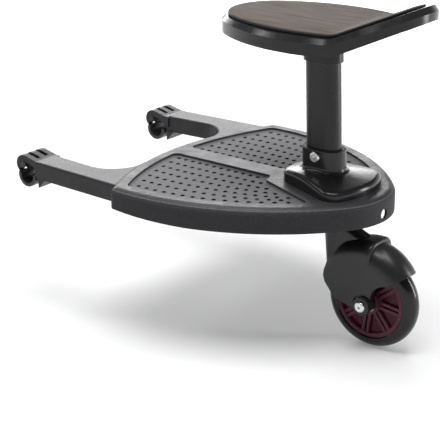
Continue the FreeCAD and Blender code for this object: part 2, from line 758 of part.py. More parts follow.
def seat_socket():
    """Glossy base: crowned plate with a rounded rim, and a collar that takes the post."""
    plate = upright(socket_outline(0), DECK_TOP, SOCKET_CROWN_Z + OVER)
    plate = plate.makeFillet(SOCKET_CORNER_R, upright_edges(plate))
    collar_length = POST_LENGTH_X + 2 * (POST_CLEAR + COLLAR_WALL)
    collar_width = POST_WIDTH + 2 * (POST_CLEAR + COLLAR_WALL)
    reach = SOCKET_FRONT + SOCKET_SIDE_HALF / 2
    slope = (reach - collar_width / 2) / (SOCKET_CROWN_Z - SOCKET_EDGE_Z)
    base_r = reach + (SOCKET_EDGE_Z - DECK_TOP) * slope
    crown = Part.makeCone(base_r, collar_width / 2, SOCKET_CROWN_Z - DECK_TOP, V(POST_X, 0, DECK_TOP), Z_AXIS)
    plate = plate.common(crown)
    low = DECK_TOP + OVER
    high = SOCKET_CROWN_Z - OVER
    rim = [e for e in plate.Edges if e.BoundBox.ZMin > low and e.BoundBox.ZMax < high]
    rim = [e for e in rim if e not in upright_edges(plate)]
    plate = plate.makeFillet(SOCKET_RIM_R, rim)
    collar = leaning(collar_length, collar_width, DECK_TOP, COLLAR_TOP)
    collar = collar.makeFillet(COLLAR_WALL / 4, edges_at_height(collar, COLLAR_TOP))
    socket = plate.fuse(collar).removeSplitter()
    socket = socket.makeFillet(SOCKET_FOOT_R, foot_edges(socket, collar))
    removals = [post_room(DECK_TOP + SOCKET_FLOOR_T, COLLAR_TOP + OVER), bolt_hole(collar_width)]
    screw_depth = SOCKET_SCREW_LENGTH - DECK_PLATE + SCREW_TIP_ROOM
    for x, y in socket_screw_spots():
        start = V(x, y, DECK_TOP - OVER)
        removals.append(round_bar(SCREW_R + SCREW_CLEAR, start, Z_AXIS, screw_depth + OVER))
    return socket.cut(removals)


def foot_edges(socket, collar):
    """Edges where the collar stands on the crowned plate."""
    found = []
    for edge in socket.Edges:
        middle = Part.Vertex(edge.valueAt((edge.FirstParameter + edge.LastParameter) / 2))
        low = edge.BoundBox.ZMin > DECK_TOP + OVER and edge.BoundBox.ZMax < SOCKET_CROWN_Z + OVER
        if low and middle.distToShape(collar)[0] < 1e-4:
            found.append(edge)
    return found


def post_room(bottom, top):
    """Room for the post, with its clearance."""
    return leaning(POST_LENGTH_X + 2 * POST_CLEAR, POST_WIDTH + 2 * POST_CLEAR, bottom, top)


def bolt_hole(reach):
    """Cross hole for the post's bolt, through both sides."""
    return round_bar(BOLT_R + HOLE_CLEAR, V(post_x(POST_BOLT_Z), -reach, POST_BOLT_Z), Y_AXIS, 2 * reach)


def seat_post():
    """Oval tube with a welded plate at its top."""
    bottom = DECK_TOP + SOCKET_FLOOR_T
    top = SEAT_TOP - SEAT_PLATE
    cap_bottom = top - POST_CAP_T
    tube = leaning(POST_LENGTH_X, POST_WIDTH, bottom, top)
    removals = [leaning(POST_LENGTH_X - 2 * POST_WALL, POST_WIDTH - 2 * POST_WALL, bottom - OVER, cap_bottom)]
    removals.append(bolt_hole(POST_WIDTH))
    for x in seat_screw_spots():
        removals.append(round_bar(SEAT_SCREW_R + SCREW_CLEAR, V(x, 0, cap_bottom - OVER), Z_AXIS, FAR))
    return tube.cut(removals)


def hexagon(x, z, flats):
    """Six-sided side-view face."""
    corner = flats / math.sqrt(3)
    return polygon([polar((x, z), corner, 60 * k + 30) for k in range(6)], in_side)


def cross_bolt(x, z, face_y, radius):
    """Bolt along Y: domed head with a six-sided socket on the left, thread through the nut on the right."""
    start = V(x, -face_y - BOLT_HEAD_T, z)
    head = round_bar(BOLT_HEAD_R, start, Y_AXIS, BOLT_HEAD_T)
    head = head.makeFillet(BOLT_HEAD_T / 2, edges_across(head, start.y))
    drive = across(hexagon(x, z, 2 * BOLT_DRIVE_R), start.y, start.y + BOLT_HEAD_T / 2)
    shank = round_bar(radius, V(x, -face_y, z), Y_AXIS, 2 * face_y + NUT_T)
    return head.cut(drive).fuse(shank).removeSplitter()


def post_bolt():
    face_y = POST_WIDTH / 2 + POST_CLEAR + COLLAR_WALL
    return cross_bolt(post_x(POST_BOLT_Z), POST_BOLT_Z, face_y, BOLT_R)


def hex_nut(centre, flats, thickness, hole_r):
    """Nut along +Y with bevelled corners."""
    corner = flats / math.sqrt(3)
    body = across(hexagon(centre.x, centre.z, flats), centre.y, centre.y + thickness)
    bevel = Part.makeCone(corner + thickness, corner * NUT_BEVEL, thickness, centre, Y_AXIS)
    hole = round_bar(hole_r, centre, Y_AXIS, thickness)
    return body.common(bevel).cut(hole)


def post_nut():
    face_y = POST_WIDTH / 2 + POST_CLEAR + COLLAR_WALL
    return hex_nut(V(post_x(POST_BOLT_Z), face_y, POST_BOLT_Z), NUT_FLATS, NUT_T, BOLT_R + SCREW_CLEAR)


def oval(centre_x, length, width, tip_r, inset):
    """Plan face of two end arcs and two flatter side arcs, tangent, moved in by an even inset."""
    half_width = width / 2
    reach = length / 2 - tip_r
    rise = half_width - tip_r
    side_r = tip_r + (reach * reach + rise * rise) / (2 * rise)
    meet = math.degrees(math.atan2(side_r - half_width, reach))
    rear = (centre_x + reach, 0)
    front = (centre_x - reach, 0)
    low = (centre_x, half_width - side_r)
    high = (centre_x, side_r - half_width)
    end_r = tip_r - inset
    long_r = side_r - inset
    return face_of([
        arc(rear, end_r, -meet, meet, in_plan),
        arc(low, long_r, meet, 180 - meet, in_plan),
        arc(front, end_r, 180 - meet, 180 + meet, in_plan),
        arc(high, long_r, 180 + meet, 360 - meet, in_plan),
    ])


def seat_outline(inset):
    return oval(SEAT_X, SEAT_LENGTH, SEAT_WIDTH, SEAT_END_R, inset)


def seat_curve(height, bend_r, angle):
    """Side-view curve of the seat: level, a short bend, then a straight rise; with its two end points."""
    front = (SEAT_X - SEAT_LENGTH / 2 - OVER, height)
    bend_start = (SEAT_BEND_X, height)
    centre = (SEAT_BEND_X, height + bend_r)
    bend_end = polar(centre, bend_r, angle - 90)
    run = SEAT_X + SEAT_LENGTH / 2 + OVER - bend_end[0]
    rear = (bend_end[0] + run, bend_end[1] + run * math.tan(math.radians(angle)))
    edges = [
        line(front, bend_start, in_side),
        arc(centre, bend_r, -90, angle - 90, in_side),
        line(bend_end, rear, in_side),
    ]
    return edges, front, rear


def seat_layer(outline, top_up, lower_curve):
    """Layer of the seat: a plan outline between the seat's upper curve, raised by top_up, and a lower curve."""
    edges, front, rear = seat_curve(SEAT_TOP + top_up, SEAT_BEND_R - top_up, SEAT_LIP_ANGLE)
    low_edges, low_front, low_rear = lower_curve
    ends = [line(front, low_front, in_side), line(rear, low_rear, in_side)]
    band = across(face_of(edges + low_edges + ends), -SEAT_WIDTH, SEAT_WIDTH)
    return band.common(upright(outline, SEAT_COLLAR_Z - SEAT_WIDTH, SEAT_TOP + SEAT_WIDTH))


def upper_rim(solid):
    """Edges round the upper face of a seat layer."""
    top_faces = [f for f in solid.Faces if f.normalAt(*middle_of(f)).z > 0.5]
    shared = {}
    for face in top_faces:
        for edge in face.Edges:
            shared.setdefault(edge.hashCode(), []).append(edge)
    return [edges[0] for edges in shared.values() if len(edges) == 1]


def middle_of(face):
    u0, u1, v0, v1 = face.ParameterRange
    return ((u0 + u1) / 2, (v0 + v1) / 2)


def seat_screw_spots():
    half = SEAT_SCREW_PITCH / 2
    return [post_x(SEAT_TOP) - half, post_x(SEAT_TOP) + half]


def seat_shell():
    """Moulded seat: bevelled rim, raised rear lip, hollow underneath, collar round the post."""
    under = seat_curve(SEAT_TOP - SEAT_RIM, SEAT_UNDER_BEND_R, SEAT_UNDER_ANGLE)
    blank = seat_layer(seat_outline(0), 0, under)
    blank = blank.makeChamfer(SEAT_BEVEL, upper_rim(blank))
    roof = SEAT_TOP - SEAT_PLATE
    inside = seat_outline(SEAT_WALL + SEAT_BEVEL)
    below = seat_curve(SEAT_TOP - 4 * SEAT_RIM, SEAT_UNDER_BEND_R, SEAT_UNDER_ANGLE)
    hollow = seat_layer(inside, -SEAT_PLATE, below)
    shell = blank.cut(hollow)
    grow = 2 * (POST_CLEAR + SEAT_COLLAR_WALL)
    collar = leaning(POST_LENGTH_X + grow, POST_WIDTH + grow, SEAT_COLLAR_Z, roof + SEAT_PLATE / 4)
    shell = shell.fuse(collar).cut(post_room(SEAT_COLLAR_Z - OVER, roof))
    for x in seat_screw_spots():
        shell = shell.cut(seat_screw(x, HOLE_CLEAR))
    return shell


def seat_screw(x, grow):
    """Countersunk screw under the pad, into the post's top plate."""
    depth = SEAT_SCREW_HEAD_R - SEAT_SCREW_R
    neck_z = SEAT_TOP - depth
    head = Part.makeCone(SEAT_SCREW_R + grow, SEAT_SCREW_HEAD_R + grow, depth, V(x, 0, neck_z), Z_AXIS)
    tip_z = SEAT_TOP - SEAT_SCREW_LENGTH
    shank = round_bar(SEAT_SCREW_R + grow, V(x, 0, tip_z), Z_AXIS, neck_z - tip_z)
    return head.fuse(shank).removeSplitter()


def seat_screws():
    return [seat_screw(x, 0.0) for x in seat_screw_spots()]


def seat_pad():
    """Thin foam pad that follows the seat's upper curve, with a rounded upper edge."""
    outline = oval(PAD_X, PAD_LENGTH, PAD_WIDTH, PAD_END_R, 0)
    under = seat_curve(SEAT_TOP + PAD_GLUE, SEAT_BEND_R - PAD_GLUE, SEAT_LIP_ANGLE)
    pad = seat_layer(outline, PAD_GLUE + PAD_T, under)
    return pad.makeFillet(PAD_EDGE_R, upper_rim(pad))


def swivel_bush(flange_z, up):
    """Flanged bush in the swivel boss; the flange bears on the boss's end face."""
    length = (DECK_HEIGHT - DECK_PLATE) / 3
    start = V(STEM_X, 0, flange_z)
    way = Z_AXIS if up else V(0, 0, -1)
    flange = round_bar(BUSH_FLANGE_R, start, way, BUSH_FLANGE_T)
    tube = round_bar(STEM_R + RUN_CLEAR + BUSH_WALL, start, way, BUSH_FLANGE_T + length)
    hole = round_bar(STEM_R + RUN_CLEAR, start, way, FAR)
    return flange.fuse(tube).cut(hole).removeSplitter()


def swivel_washer():
    base = V(STEM_X, 0, NECK_TOP)
    washer = round_bar(BUSH_FLANGE_R, base, Z_AXIS, SWIVEL_WASHER_T)
    return washer.cut(round_bar(STEM_R + SCREW_CLEAR, base, Z_AXIS, FAR))


def caster_stem():
    """Steel stem: pressed in the neck, grooved for the clip above the upper bush."""
    top = clip_z() + 2 * CLIP_T
    stem = round_bar(STEM_R, V(STEM_X, 0, STEM_BOTTOM), Z_AXIS, top - STEM_BOTTOM)
    base = V(STEM_X, 0, clip_z())
    groove = round_bar(CLIP_R, base, Z_AXIS, CLIP_T).cut(round_bar(STEM_GROOVE_R, base, Z_AXIS, CLIP_T))
    return stem.cut(groove)


def clip_z():
    """Height of the retaining ring, just above the upper bush's flange."""
    return DECK_UNDER + FIT_GAP


def stem_clip():
    """Open retaining ring in the stem's groove."""
    base = V(STEM_X, 0, clip_z())
    ring = round_bar(CLIP_R, base, Z_AXIS, CLIP_T)
    ring = ring.cut(round_bar(STEM_GROOVE_R, base, Z_AXIS, CLIP_T))
    return ring.cut(box((STEM_X, -CLIP_MOUTH / 2, -FAR), (FAR, CLIP_MOUTH / 2, FAR)))


def revolved_hood(outer_r, half, round_r, ahead=0.0, above=0.0):
    """Full ring with a rounded outer section, about the wheel's axis or an axis ahead of it and above it."""
    axis_x = WHEEL_X - ahead
    axis_z = WHEEL_Z + above
    top = axis_z + outer_r
    shoulder = top - round_r
    flat = half - round_r
    place = lambda p: V(axis_x, p[0], p[1])
    section = face_of([
        line((-half, axis_z), (-half, shoulder), place),
        arc((-flat, shoulder), round_r, 180, 90, place),
        line((-flat, top), (flat, top), place),
        arc((flat, shoulder), round_r, 90, 0, place),
        line((half, shoulder), (half, axis_z), place),
        line((half, axis_z), (-half, axis_z), place),
    ])
    return section.revolve(V(axis_x, 0, axis_z), Y_AXIS, 360)


def hood_side():
    """Side view of the hood and its cheeks: front edge, axle boss, leaning rear step."""
    axle = (WHEEL_X, WHEEL_Z)
    top = WHEEL_Z + HOOD_R + HOOD_END
    front = [(WHEEL_X + dx, WHEEL_Z + dz) for dx, dz in HOOD_FRONT]
    boss_front = polar(axle, AXLE_BOSS_R, BOSS_FRONT_ANGLE)
    boss_rear = polar(axle, AXLE_BOSS_R, BOSS_REAR_ANGLE)
    chain = [(front[0][0], top)] + front + [boss_front]
    tail = [
        boss_rear, (WHEEL_X + HOOD_END_FOOT, boss_rear[1]), (WHEEL_X + HOOD_END, top), (front[0][0], top),
    ]
    edges = [line(a, b, in_side) for run in (chain, tail) for a, b in zip(run, run[1:])]
    edges.append(arc(axle, AXLE_BOSS_R, BOSS_FRONT_ANGLE, BOSS_REAR_ANGLE + 360, in_side))
    return face_of(edges)


def rear_edges(hood):
    """Edges round the hood's rear face, without its foot."""
    rear = max(hood.Faces, key=lambda f: f.normalAt(*middle_of(f)).x)
    foot = min(rear.Edges, key=lambda e: e.BoundBox.ZMax)
    return [e for e in rear.Edges if not e.isSame(foot)]


def fender_side():
    """Side view of the rear fender behind the hood's step."""
    axle = (WHEEL_X, WHEEL_Z)
    tip = polar(axle, HOOD_R, FENDER_TIP_ANGLE)
    knee = polar(axle, FENDER_KNEE_R, FENDER_KNEE_ANGLE)
    waist = polar(axle, FENDER_WAIST_R, FENDER_WAIST_ANGLE)
    low = polar(axle, AXLE_BOSS_R, BOSS_REAR_ANGLE)
    top = WHEEL_Z + HOOD_R
    return face_of([
        line((WHEEL_X, top), (WHEEL_X, low[1]), in_side),
        line((WHEEL_X, low[1]), low, in_side),
        Part.Arc(in_side(low), in_side(waist), in_side(knee)).toShape(),
        line(knee, tip, in_side),
        line(tip, (tip[0], top), in_side),
        line((tip[0], top), (WHEEL_X, top), in_side),
    ])


def neck_shoulder():
    """Web that carries the neck's rear side over into the hood's top."""
    end_x = WHEEL_X - SHOULDER_END
    hood_z = WHEEL_Z + math.sqrt(HOOD_R ** 2 - SHOULDER_END ** 2)
    foot_z = WHEEL_Z + HOOD_FRONT[1][1]
    web = across(polygon([
        (STEM_X, NECK_TOP), (end_x, hood_z), (end_x, foot_z), (STEM_X, foot_z),
    ], in_side), -SHOULDER_HALF, SHOULDER_HALF)
    top = [e for e in web.Edges if e.BoundBox.YLength < OVER and e.BoundBox.ZMin > hood_z - OVER]
    return web.makeFillet(SHOULDER_ROUND_R, top)


def caster_fork():
    """Hooded fork: revolved hood and fender, tapered neck and shoulder, wheel well and axle bosses."""
    hood = revolved_hood(HOOD_R, HOOD_HALF, HOOD_ROUND_R)
    hood = hood.common(across(hood_side(), -FAR, FAR))
    hood = hood.makeFillet(HOOD_END_ROUND_R, rear_edges(hood))
    fender = revolved_hood(FENDER_R, FENDER_HALF, FENDER_ROUND_R, FENDER_AHEAD, FENDER_ABOVE)
    fender = fender.common(across(fender_side(), -FAR, FAR))
    neck_height = NECK_TOP - NECK_BOTTOM
    neck = Part.makeCone(NECK_BOTTOM_R, NECK_TOP_R, neck_height, V(STEM_X, 0, NECK_BOTTOM), Z_AXIS)
    fork = hood.fuse([fender, neck, neck_shoulder()])
    axle = V(WHEEL_X, 0, WHEEL_Z)
    for side in SIDES.values():
        outward = V(0, side, 0)
        groove_y = side * (HOOD_HALF - AXLE_BOSS_GROOVE_T)
        groove = round_bar(AXLE_BOSS_R + AXLE_BOSS_GROOVE, axle + V(0, groove_y, 0), outward, FAR)
        fork = fork.cut(groove)
    fork = fork.cut(revolved_hood(WHEEL_WELL_R, WHEEL_WELL_HALF, WHEEL_WELL_ROUND_R))
    bosses = []
    for side in SIDES.values():
        inner = V(WHEEL_X, side * SLEEVE_HALF, WHEEL_Z)
        bosses.append(round_bar(AXLE_BOSS_R, inner, V(0, side, 0), AXLE_BOSS_Y - SLEEVE_HALF))
    fork = fork.fuse(bosses)
    removals = [
        round_bar(AXLE_R + HOLE_CLEAR, axle - V(0, 2 * HOOD_HALF, 0), Y_AXIS, 4 * HOOD_HALF),
        round_bar(STEM_R, V(STEM_X, 0, STEM_BOTTOM), Z_AXIS, NECK_TOP - STEM_BOTTOM + 1),
    ]
    fork = fork.cut(removals).removeSplitter()
    return max(fork.Solids, key=lambda s: s.Volume)


def axle_bolt():
    return cross_bolt(WHEEL_X, WHEEL_Z, AXLE_BOSS_Y, AXLE_R)


def axle_nut():
    return hex_nut(V(WHEEL_X, AXLE_BOSS_Y, WHEEL_Z), NUT_FLATS, NUT_T, AXLE_R + SCREW_CLEAR)


def axle_sleeve():
    base = V(WHEEL_X, -SLEEVE_HALF, WHEEL_Z)
    tube = round_bar(SLEEVE_R, base, Y_AXIS, 2 * SLEEVE_HALF)
    return tube.cut(round_bar(AXLE_R + HOLE_CLEAR, base, Y_AXIS, 2 * SLEEVE_HALF))


def bearing(side):
    """Ball bearing as one ring, with the grooves of its shield."""
    inner_y = side * (HUB_W / 2 - BEARING_W)
    base = V(WHEEL_X, inner_y, WHEEL_Z)
    outward = V(0, side, 0)
    ring = round_bar(BEARING_R, base, outward, BEARING_W)
    hole = round_bar(SLEEVE_R + RUN_CLEAR, base, outward, BEARING_W)
    face = base + outward * (BEARING_W - BEARING_SHIELD_DEPTH)
    shield = round_bar(BEARING_R - BEARING_RACE, face, outward, OVER)
    shield = shield.cut(round_bar(SLEEVE_R + BEARING_RACE, face, outward, OVER))
    return ring.cut([hole, shield])


def wheel_section(points):
    """Ring about the wheel's axis from a half section of (distance along Y, radius) points."""
    place = lambda p: V(WHEEL_X, p[0], WHEEL_Z + p[1])
    return polygon(points, place).revolve(V(WHEEL_X, 0, WHEEL_Z), Y_AXIS, 360)


def wheel_rim():
    """Moulded rim: hub, thin web, outer ring and paired ribs as spokes on both faces."""
    hub = HUB_W / 2
    half = RIM_W / 2
    web = RIM_WEB_T / 2
    ring_in = RIM_R - RIM_RING_T
    stop_r = BEARING_R - BEARING_RACE
    body = wheel_section([
        (-hub, BEARING_R), (-hub, HUB_R), (-web, HUB_R + 1), (-web, ring_in), (-half, ring_in + 1),
        (-half, RIM_R), (half, RIM_R), (half, ring_in + 1), (web, ring_in), (web, HUB_R + 1), (hub, HUB_R),
        (hub, BEARING_R), (hub - BEARING_W, BEARING_R), (hub - BEARING_W, stop_r),
        (BEARING_W - hub, stop_r), (BEARING_W - hub, BEARING_R),
    ])
    ribs = []
    axle = V(WHEEL_X, 0, WHEEL_Z)
    for pair in range(SPOKE_PAIRS):
        for offset in (-SPOKE_PITCH / 2, SPOKE_PITCH / 2):
            low = (WHEEL_X + HUB_R - OVER, SPOKE_INSET - half, WHEEL_Z + offset - SPOKE_T / 2)
            high = (WHEEL_X + ring_in + OVER, half - SPOKE_INSET, WHEEL_Z + offset + SPOKE_T / 2)
            rib = box(low, high)
            rib.rotate(axle, Y_AXIS, 360.0 / SPOKE_PAIRS * pair + SPOKE_TURN)
            ribs.append(rib)
    return body.fuse(ribs).removeSplitter()


def tyre():
    """Tyre ring with round shoulders and a narrow groove beside the rim."""
    half = TYRE_W / 2
    top = WHEEL_R
    shoulder = top - TYRE_SHOULDER_R
    flat = half - TYRE_SHOULDER_R
    place = lambda p: V(WHEEL_X, p[0], WHEEL_Z + p[1])
    section = face_of([
        line((-half + RIM_GROOVE, RIM_R), (-half, shoulder), place),
        arc((-flat, shoulder), TYRE_SHOULDER_R, 180, 90, place),
        line((-flat, top), (flat, top), place),
        arc((flat, shoulder), TYRE_SHOULDER_R, 90, 0, place),
        line((half, shoulder), (half - RIM_GROOVE, RIM_R), place),
        line((half - RIM_GROOVE, RIM_R), (-half + RIM_GROOVE, RIM_R), place),
    ])
    return section.revolve(V(WHEEL_X, 0, WHEEL_Z), Y_AXIS, 360)


def all_parts():
    parts = {
        "deck_shell": deck_shell(),
        "arm_screws": arm_screws(),
        "pin_clips": [pin_clip(side) for side in SIDES.values()],
        "seat_socket": seat_socket(),
        "socket_screws": socket_screws(),
        "seat_post": seat_post(),
        "post_bolt": post_bolt(),
        "post_nut": post_nut(),
        "seat_shell": seat_shell(),
        "seat_screws": seat_screws(),
        "seat_pad": seat_pad(),
        "lower_swivel_bush": swivel_bush(BOSS_BOTTOM - BUSH_FLANGE_T, True),
        "upper_swivel_bush": swivel_bush(DECK_UNDER, False),
        "swivel_washer": swivel_washer(),
        "caster_stem": caster_stem(),
        "stem_clip": stem_clip(),
        "caster_fork": caster_fork(),
        "axle_bolt": axle_bolt(),
        "axle_nut": axle_nut(),
        "axle_sleeve": axle_sleeve(),
        "wheel_rim": wheel_rim(),
        "tyre": tyre(),
    }
    for name, side in SIDES.items():
        parts[name + "_arm"] = arm(side)
        parts[name + "_axle_hook"] = axle_hook(side)
        parts[name + "_hook_pin"] = hook_pin(side)
        parts[name + "_bearing"] = bearing(side)
    return parts


def main():
    os.makedirs("parts", exist_ok=True)
    for name, made in all_parts().items():
        shape = Part.makeCompound(made) if isinstance(made, list) else made
        for solid in shape.Solids:
            if not solid.isValid():
                print("not valid:", name)
        print(name, "solids", len(shape.Solids), "volume", round(shape.Volume, 1))
        shape.exportStep("parts/" + name + ".step")


main()
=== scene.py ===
# %% [markdown]
# # A buggy board with a seat
# The real object is a small ride-on board that hooks on an axle tube and trails on one caster wheel. Its
# hard pieces come from the CAD model and keep their shapes. This lesson gives them their finishes, adds
# the rows of grip dimples on the deck, and makes the soft seat pad, which CAD holds only as a plain
# solid.

import json
import math

import bpy
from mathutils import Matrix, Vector


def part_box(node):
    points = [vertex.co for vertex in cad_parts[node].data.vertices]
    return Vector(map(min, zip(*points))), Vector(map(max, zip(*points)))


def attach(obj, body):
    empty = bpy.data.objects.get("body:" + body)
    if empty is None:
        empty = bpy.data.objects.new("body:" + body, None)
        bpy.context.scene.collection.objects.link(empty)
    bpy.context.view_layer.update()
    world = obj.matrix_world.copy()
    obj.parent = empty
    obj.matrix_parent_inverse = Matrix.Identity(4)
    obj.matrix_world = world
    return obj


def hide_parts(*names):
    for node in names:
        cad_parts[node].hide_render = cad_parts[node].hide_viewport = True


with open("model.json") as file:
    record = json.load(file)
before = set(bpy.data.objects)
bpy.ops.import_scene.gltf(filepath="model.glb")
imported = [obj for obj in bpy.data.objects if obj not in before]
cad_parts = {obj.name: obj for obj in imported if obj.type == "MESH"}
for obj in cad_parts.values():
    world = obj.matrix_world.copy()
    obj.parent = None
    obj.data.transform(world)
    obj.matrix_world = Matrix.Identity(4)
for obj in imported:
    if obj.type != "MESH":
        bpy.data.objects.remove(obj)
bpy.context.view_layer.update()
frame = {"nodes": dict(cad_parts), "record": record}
nodes = frame["nodes"]
scene = bpy.context.scene

# %% [markdown]
# ## Camera
# The photograph was taken from behind the board's left side and a little above it, with a long lens. The
# place and the angles come from fitting the perspective of the arms, the deck and the wheel. A
# constraint could aim the camera at a point, but angles that are written down keep the fit exactly, and
# no lens shift is needed.

# %% Camera at the photograph's place
CAMERA_PLACE = Vector((1.1716, -1.2895, 0.5521))
CAMERA_AZIMUTH = math.radians(37.3)
CAMERA_ELEVATION = math.radians(20.7)
CAMERA_LENS_MM = 113.26

view_line = Vector((
    -math.sin(CAMERA_AZIMUTH) * math.cos(CAMERA_ELEVATION),
    math.cos(CAMERA_AZIMUTH) * math.cos(CAMERA_ELEVATION),
    -math.sin(CAMERA_ELEVATION),
))
camera = bpy.data.objects.new("camera", bpy.data.cameras.new("camera"))
camera.data.lens = CAMERA_LENS_MM
camera.location = CAMERA_PLACE
camera.rotation_euler = view_line.to_track_quat("-Z", "Y").to_euler()
scene.collection.objects.link(camera)
scene.camera = camera
print("camera lens:", camera.data.lens)

# %% [markdown]
# ## Light
# The board stands under a large soft box overhead, so its upper faces are grey and its walls are dark.
# Seen from the camera, a wide box behind the board gives the upper faces their sheen, a tall box on the
# right draws the streaks on the post, the fender and the tyre, and a narrow strip on the left picks out
# the rounded edges. Area lamps are used because their shape shows in polished plastic, as the shape of a
# real soft box does.

# %% Soft boxes
scene.view_settings.view_transform = "Standard"
AIM = Vector((0.25, 0.0, 0.05))


def soft_box(name, place, width, height, watts):
    """Area lamp that faces the middle of the object."""
    lamp = bpy.data.lights.new(name, "AREA")
    lamp.shape = "RECTANGLE"
    lamp.size = width
    lamp.size_y = height
    lamp.energy = watts
    obj = bpy.data.objects.new(name, lamp)
    obj.location = place
    obj.rotation_euler = (AIM - Vector(place)).to_track_quat("-Z", "Y").to_euler()
    scene.collection.objects.link(obj)


soft_box("overhead_box", place=(0.40, -0.20, 1.75), width=1.2, height=1.2, watts=34)
soft_box("back_left_box", place=(-1.20, 1.42, 0.75), width=1.9, height=0.6, watts=25)
soft_box("rear_right_box", place=(1.55, 1.05, 0.30), width=0.35, height=0.9, watts=9)
soft_box("left_strip", place=(-0.75, -0.60, 1.35), width=1.0, height=0.15, watts=4)

# %% [markdown]
# ## Node helpers
# The world, the floor and every finish are trees of nodes. Each node could be added and linked line by
# line. Three short helpers do that here, so that the later cells show the idea of a finish and not its
# wiring.

# %% Helpers for node trees
def feed(tree, source, socket):
    """Links another node's output to a socket, or sets a plain value there."""
    if isinstance(source, bpy.types.NodeSocket):
        tree.links.new(source, socket)
    else:
        socket.default_value = source


def work_out(tree, operation, *values):
    """Output of a Math node; each value is a number or another node's output."""
    node = tree.nodes.new("ShaderNodeMath")
    node.operation = operation
    for value, socket in zip(values, node.inputs):
        feed(tree, value, socket)
    return node.outputs[0]


def remap(tree, value, start, end, low=0.0, high=1.0, smooth=False):
    """Output that goes from low to high while a value goes from start to end, and stays there outside."""
    node = tree.nodes.new("ShaderNodeMapRange")
    if smooth:
        node.interpolation_type = "SMOOTHSTEP"
    sources = {"Value": value, "From Min": start, "From Max": end, "To Min": low, "To Max": high}
    for name, source in sources.items():
        feed(tree, source, node.inputs[name])
    return node.outputs["Result"]


print("node helpers ready")

# %% [markdown]
# ## World
# The world gives a weak fill light from all round. Where the camera or a polished piece looks along the
# ground, it sees a white backdrop instead, which fades out above the horizon. A white wall could stand
# there, but it would brighten the whole object. A Light Path node tells what is looked at from light
# that is scattered, so the backdrop hardly brightens a matt face.

# %% World with a white horizon
FILL_LIGHT = 0.14
FILL_COLOUR = (0.92, 0.95, 1.0, 1.0)
BACKDROP_WHITE = 1.0
BACKDROP_COLOUR = (1.0, 1.0, 1.0, 1.0)
BACKDROP_FULL_BELOW = 0.16    # as the sine of the elevation, like the next one
BACKDROP_GONE_ABOVE = 0.30


def seen_directly(tree):
    """1 for what the camera, a mirror or a glass shows, and 0 for light that only falls on a surface."""
    light_path = tree.nodes.new("ShaderNodeLightPath")
    seen = light_path.outputs["Is Camera Ray"]
    for ray in ("Is Glossy Ray", "Is Transmission Ray"):
        seen = work_out(tree, "MAXIMUM", seen, light_path.outputs[ray])
    return seen


def studio_world():
    """Bluish fill light, with the white backdrop in what is seen directly."""
    world = bpy.data.worlds.new("studio")
    world.use_nodes = True
    tree = world.node_tree
    fill = tree.nodes["Background"]
    fill.inputs["Color"].default_value = FILL_COLOUR
    fill.inputs["Strength"].default_value = FILL_LIGHT
    backdrop = tree.nodes.new("ShaderNodeBackground")
    backdrop.inputs["Color"].default_value = BACKDROP_COLOUR
    backdrop.inputs["Strength"].default_value = BACKDROP_WHITE
    direction = tree.nodes.new("ShaderNodeTexCoord")
    split = tree.nodes.new("ShaderNodeSeparateXYZ")
    tree.links.new(direction.outputs["Generated"], split.inputs[0])
    low = remap(tree, split.outputs["Z"], BACKDROP_GONE_ABOVE, BACKDROP_FULL_BELOW)
    mix = tree.nodes.new("ShaderNodeMixShader")
    tree.links.new(work_out(tree, "MULTIPLY", seen_directly(tree), low), mix.inputs["Fac"])
    tree.links.new(fill.outputs[0], mix.inputs[1])
    tree.links.new(backdrop.outputs[0], mix.inputs[2])
    tree.links.new(mix.outputs[0], tree.nodes["World Output"].inputs["Surface"])
    return world


scene.world = studio_world()
print("world:", scene.world.name)

# %% [markdown]
# ## Floor
# A floor that is only painted white turns grey under soft light. Here the camera sees a little glow of
# the floor's own added to the lit paint: full light comes out white, and the shadow still shows as grey.
# Polished pieces mirror that same white floor, while the light that bounces up from it is that of a
# darker paint. The lamps don't reach far, so the glow grows with the distance from the object and the
# floor stays white up to the horizon.

# %% White floor that keeps the shadow
FLOOR_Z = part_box("tyre")[0][2]
FLOOR_HALF = 30.0
FLOOR_CORNERS = ((-1, -1), (1, -1), (1, 1), (-1, 1))
FLOOR_PAINT = 0.80
FLOOR_PAINT_FOR_BOUNCE = 0.35
FLOOR_GLOW = 0.20
FLOOR_GLOW_FAR = 1.0
GLOW_NEAR_M = 0.5
GLOW_FAR_M = 2.2


def floor_paint():
    """White paint with a glow that the camera and mirrors see, but that scatters no light."""
    material = bpy.data.materials.new("white_floor")
    material.use_nodes = True
    tree = material.node_tree
    tree.nodes.clear()
    in_view = seen_directly(tree)
    paint = tree.nodes.new("ShaderNodeBsdfDiffuse")
    shade = remap(tree, in_view, 0.0, 1.0, FLOOR_PAINT_FOR_BOUNCE, FLOOR_PAINT)
    tree.links.new(shade, paint.inputs["Color"])
    place = tree.nodes.new("ShaderNodeTexCoord")
    distance = tree.nodes.new("ShaderNodeVectorMath")
    distance.operation = "DISTANCE"
    distance.inputs[1].default_value = (AIM.x, AIM.y, FLOOR_Z)
    tree.links.new(place.outputs["Object"], distance.inputs[0])
    away = distance.outputs["Value"]
    strength = remap(tree, away, GLOW_NEAR_M, GLOW_FAR_M, FLOOR_GLOW, FLOOR_GLOW_FAR, smooth=True)
    glow = tree.nodes.new("ShaderNodeEmission")
    tree.links.new(work_out(tree, "MULTIPLY", in_view, strength), glow.inputs["Strength"])
    both = tree.nodes.new("ShaderNodeAddShader")
    tree.links.new(paint.outputs[0], both.inputs[0])
    tree.links.new(glow.outputs[0], both.inputs[1])
    output = tree.nodes.new("ShaderNodeOutputMaterial")
    tree.links.new(both.outputs[0], output.inputs["Surface"])
    return material


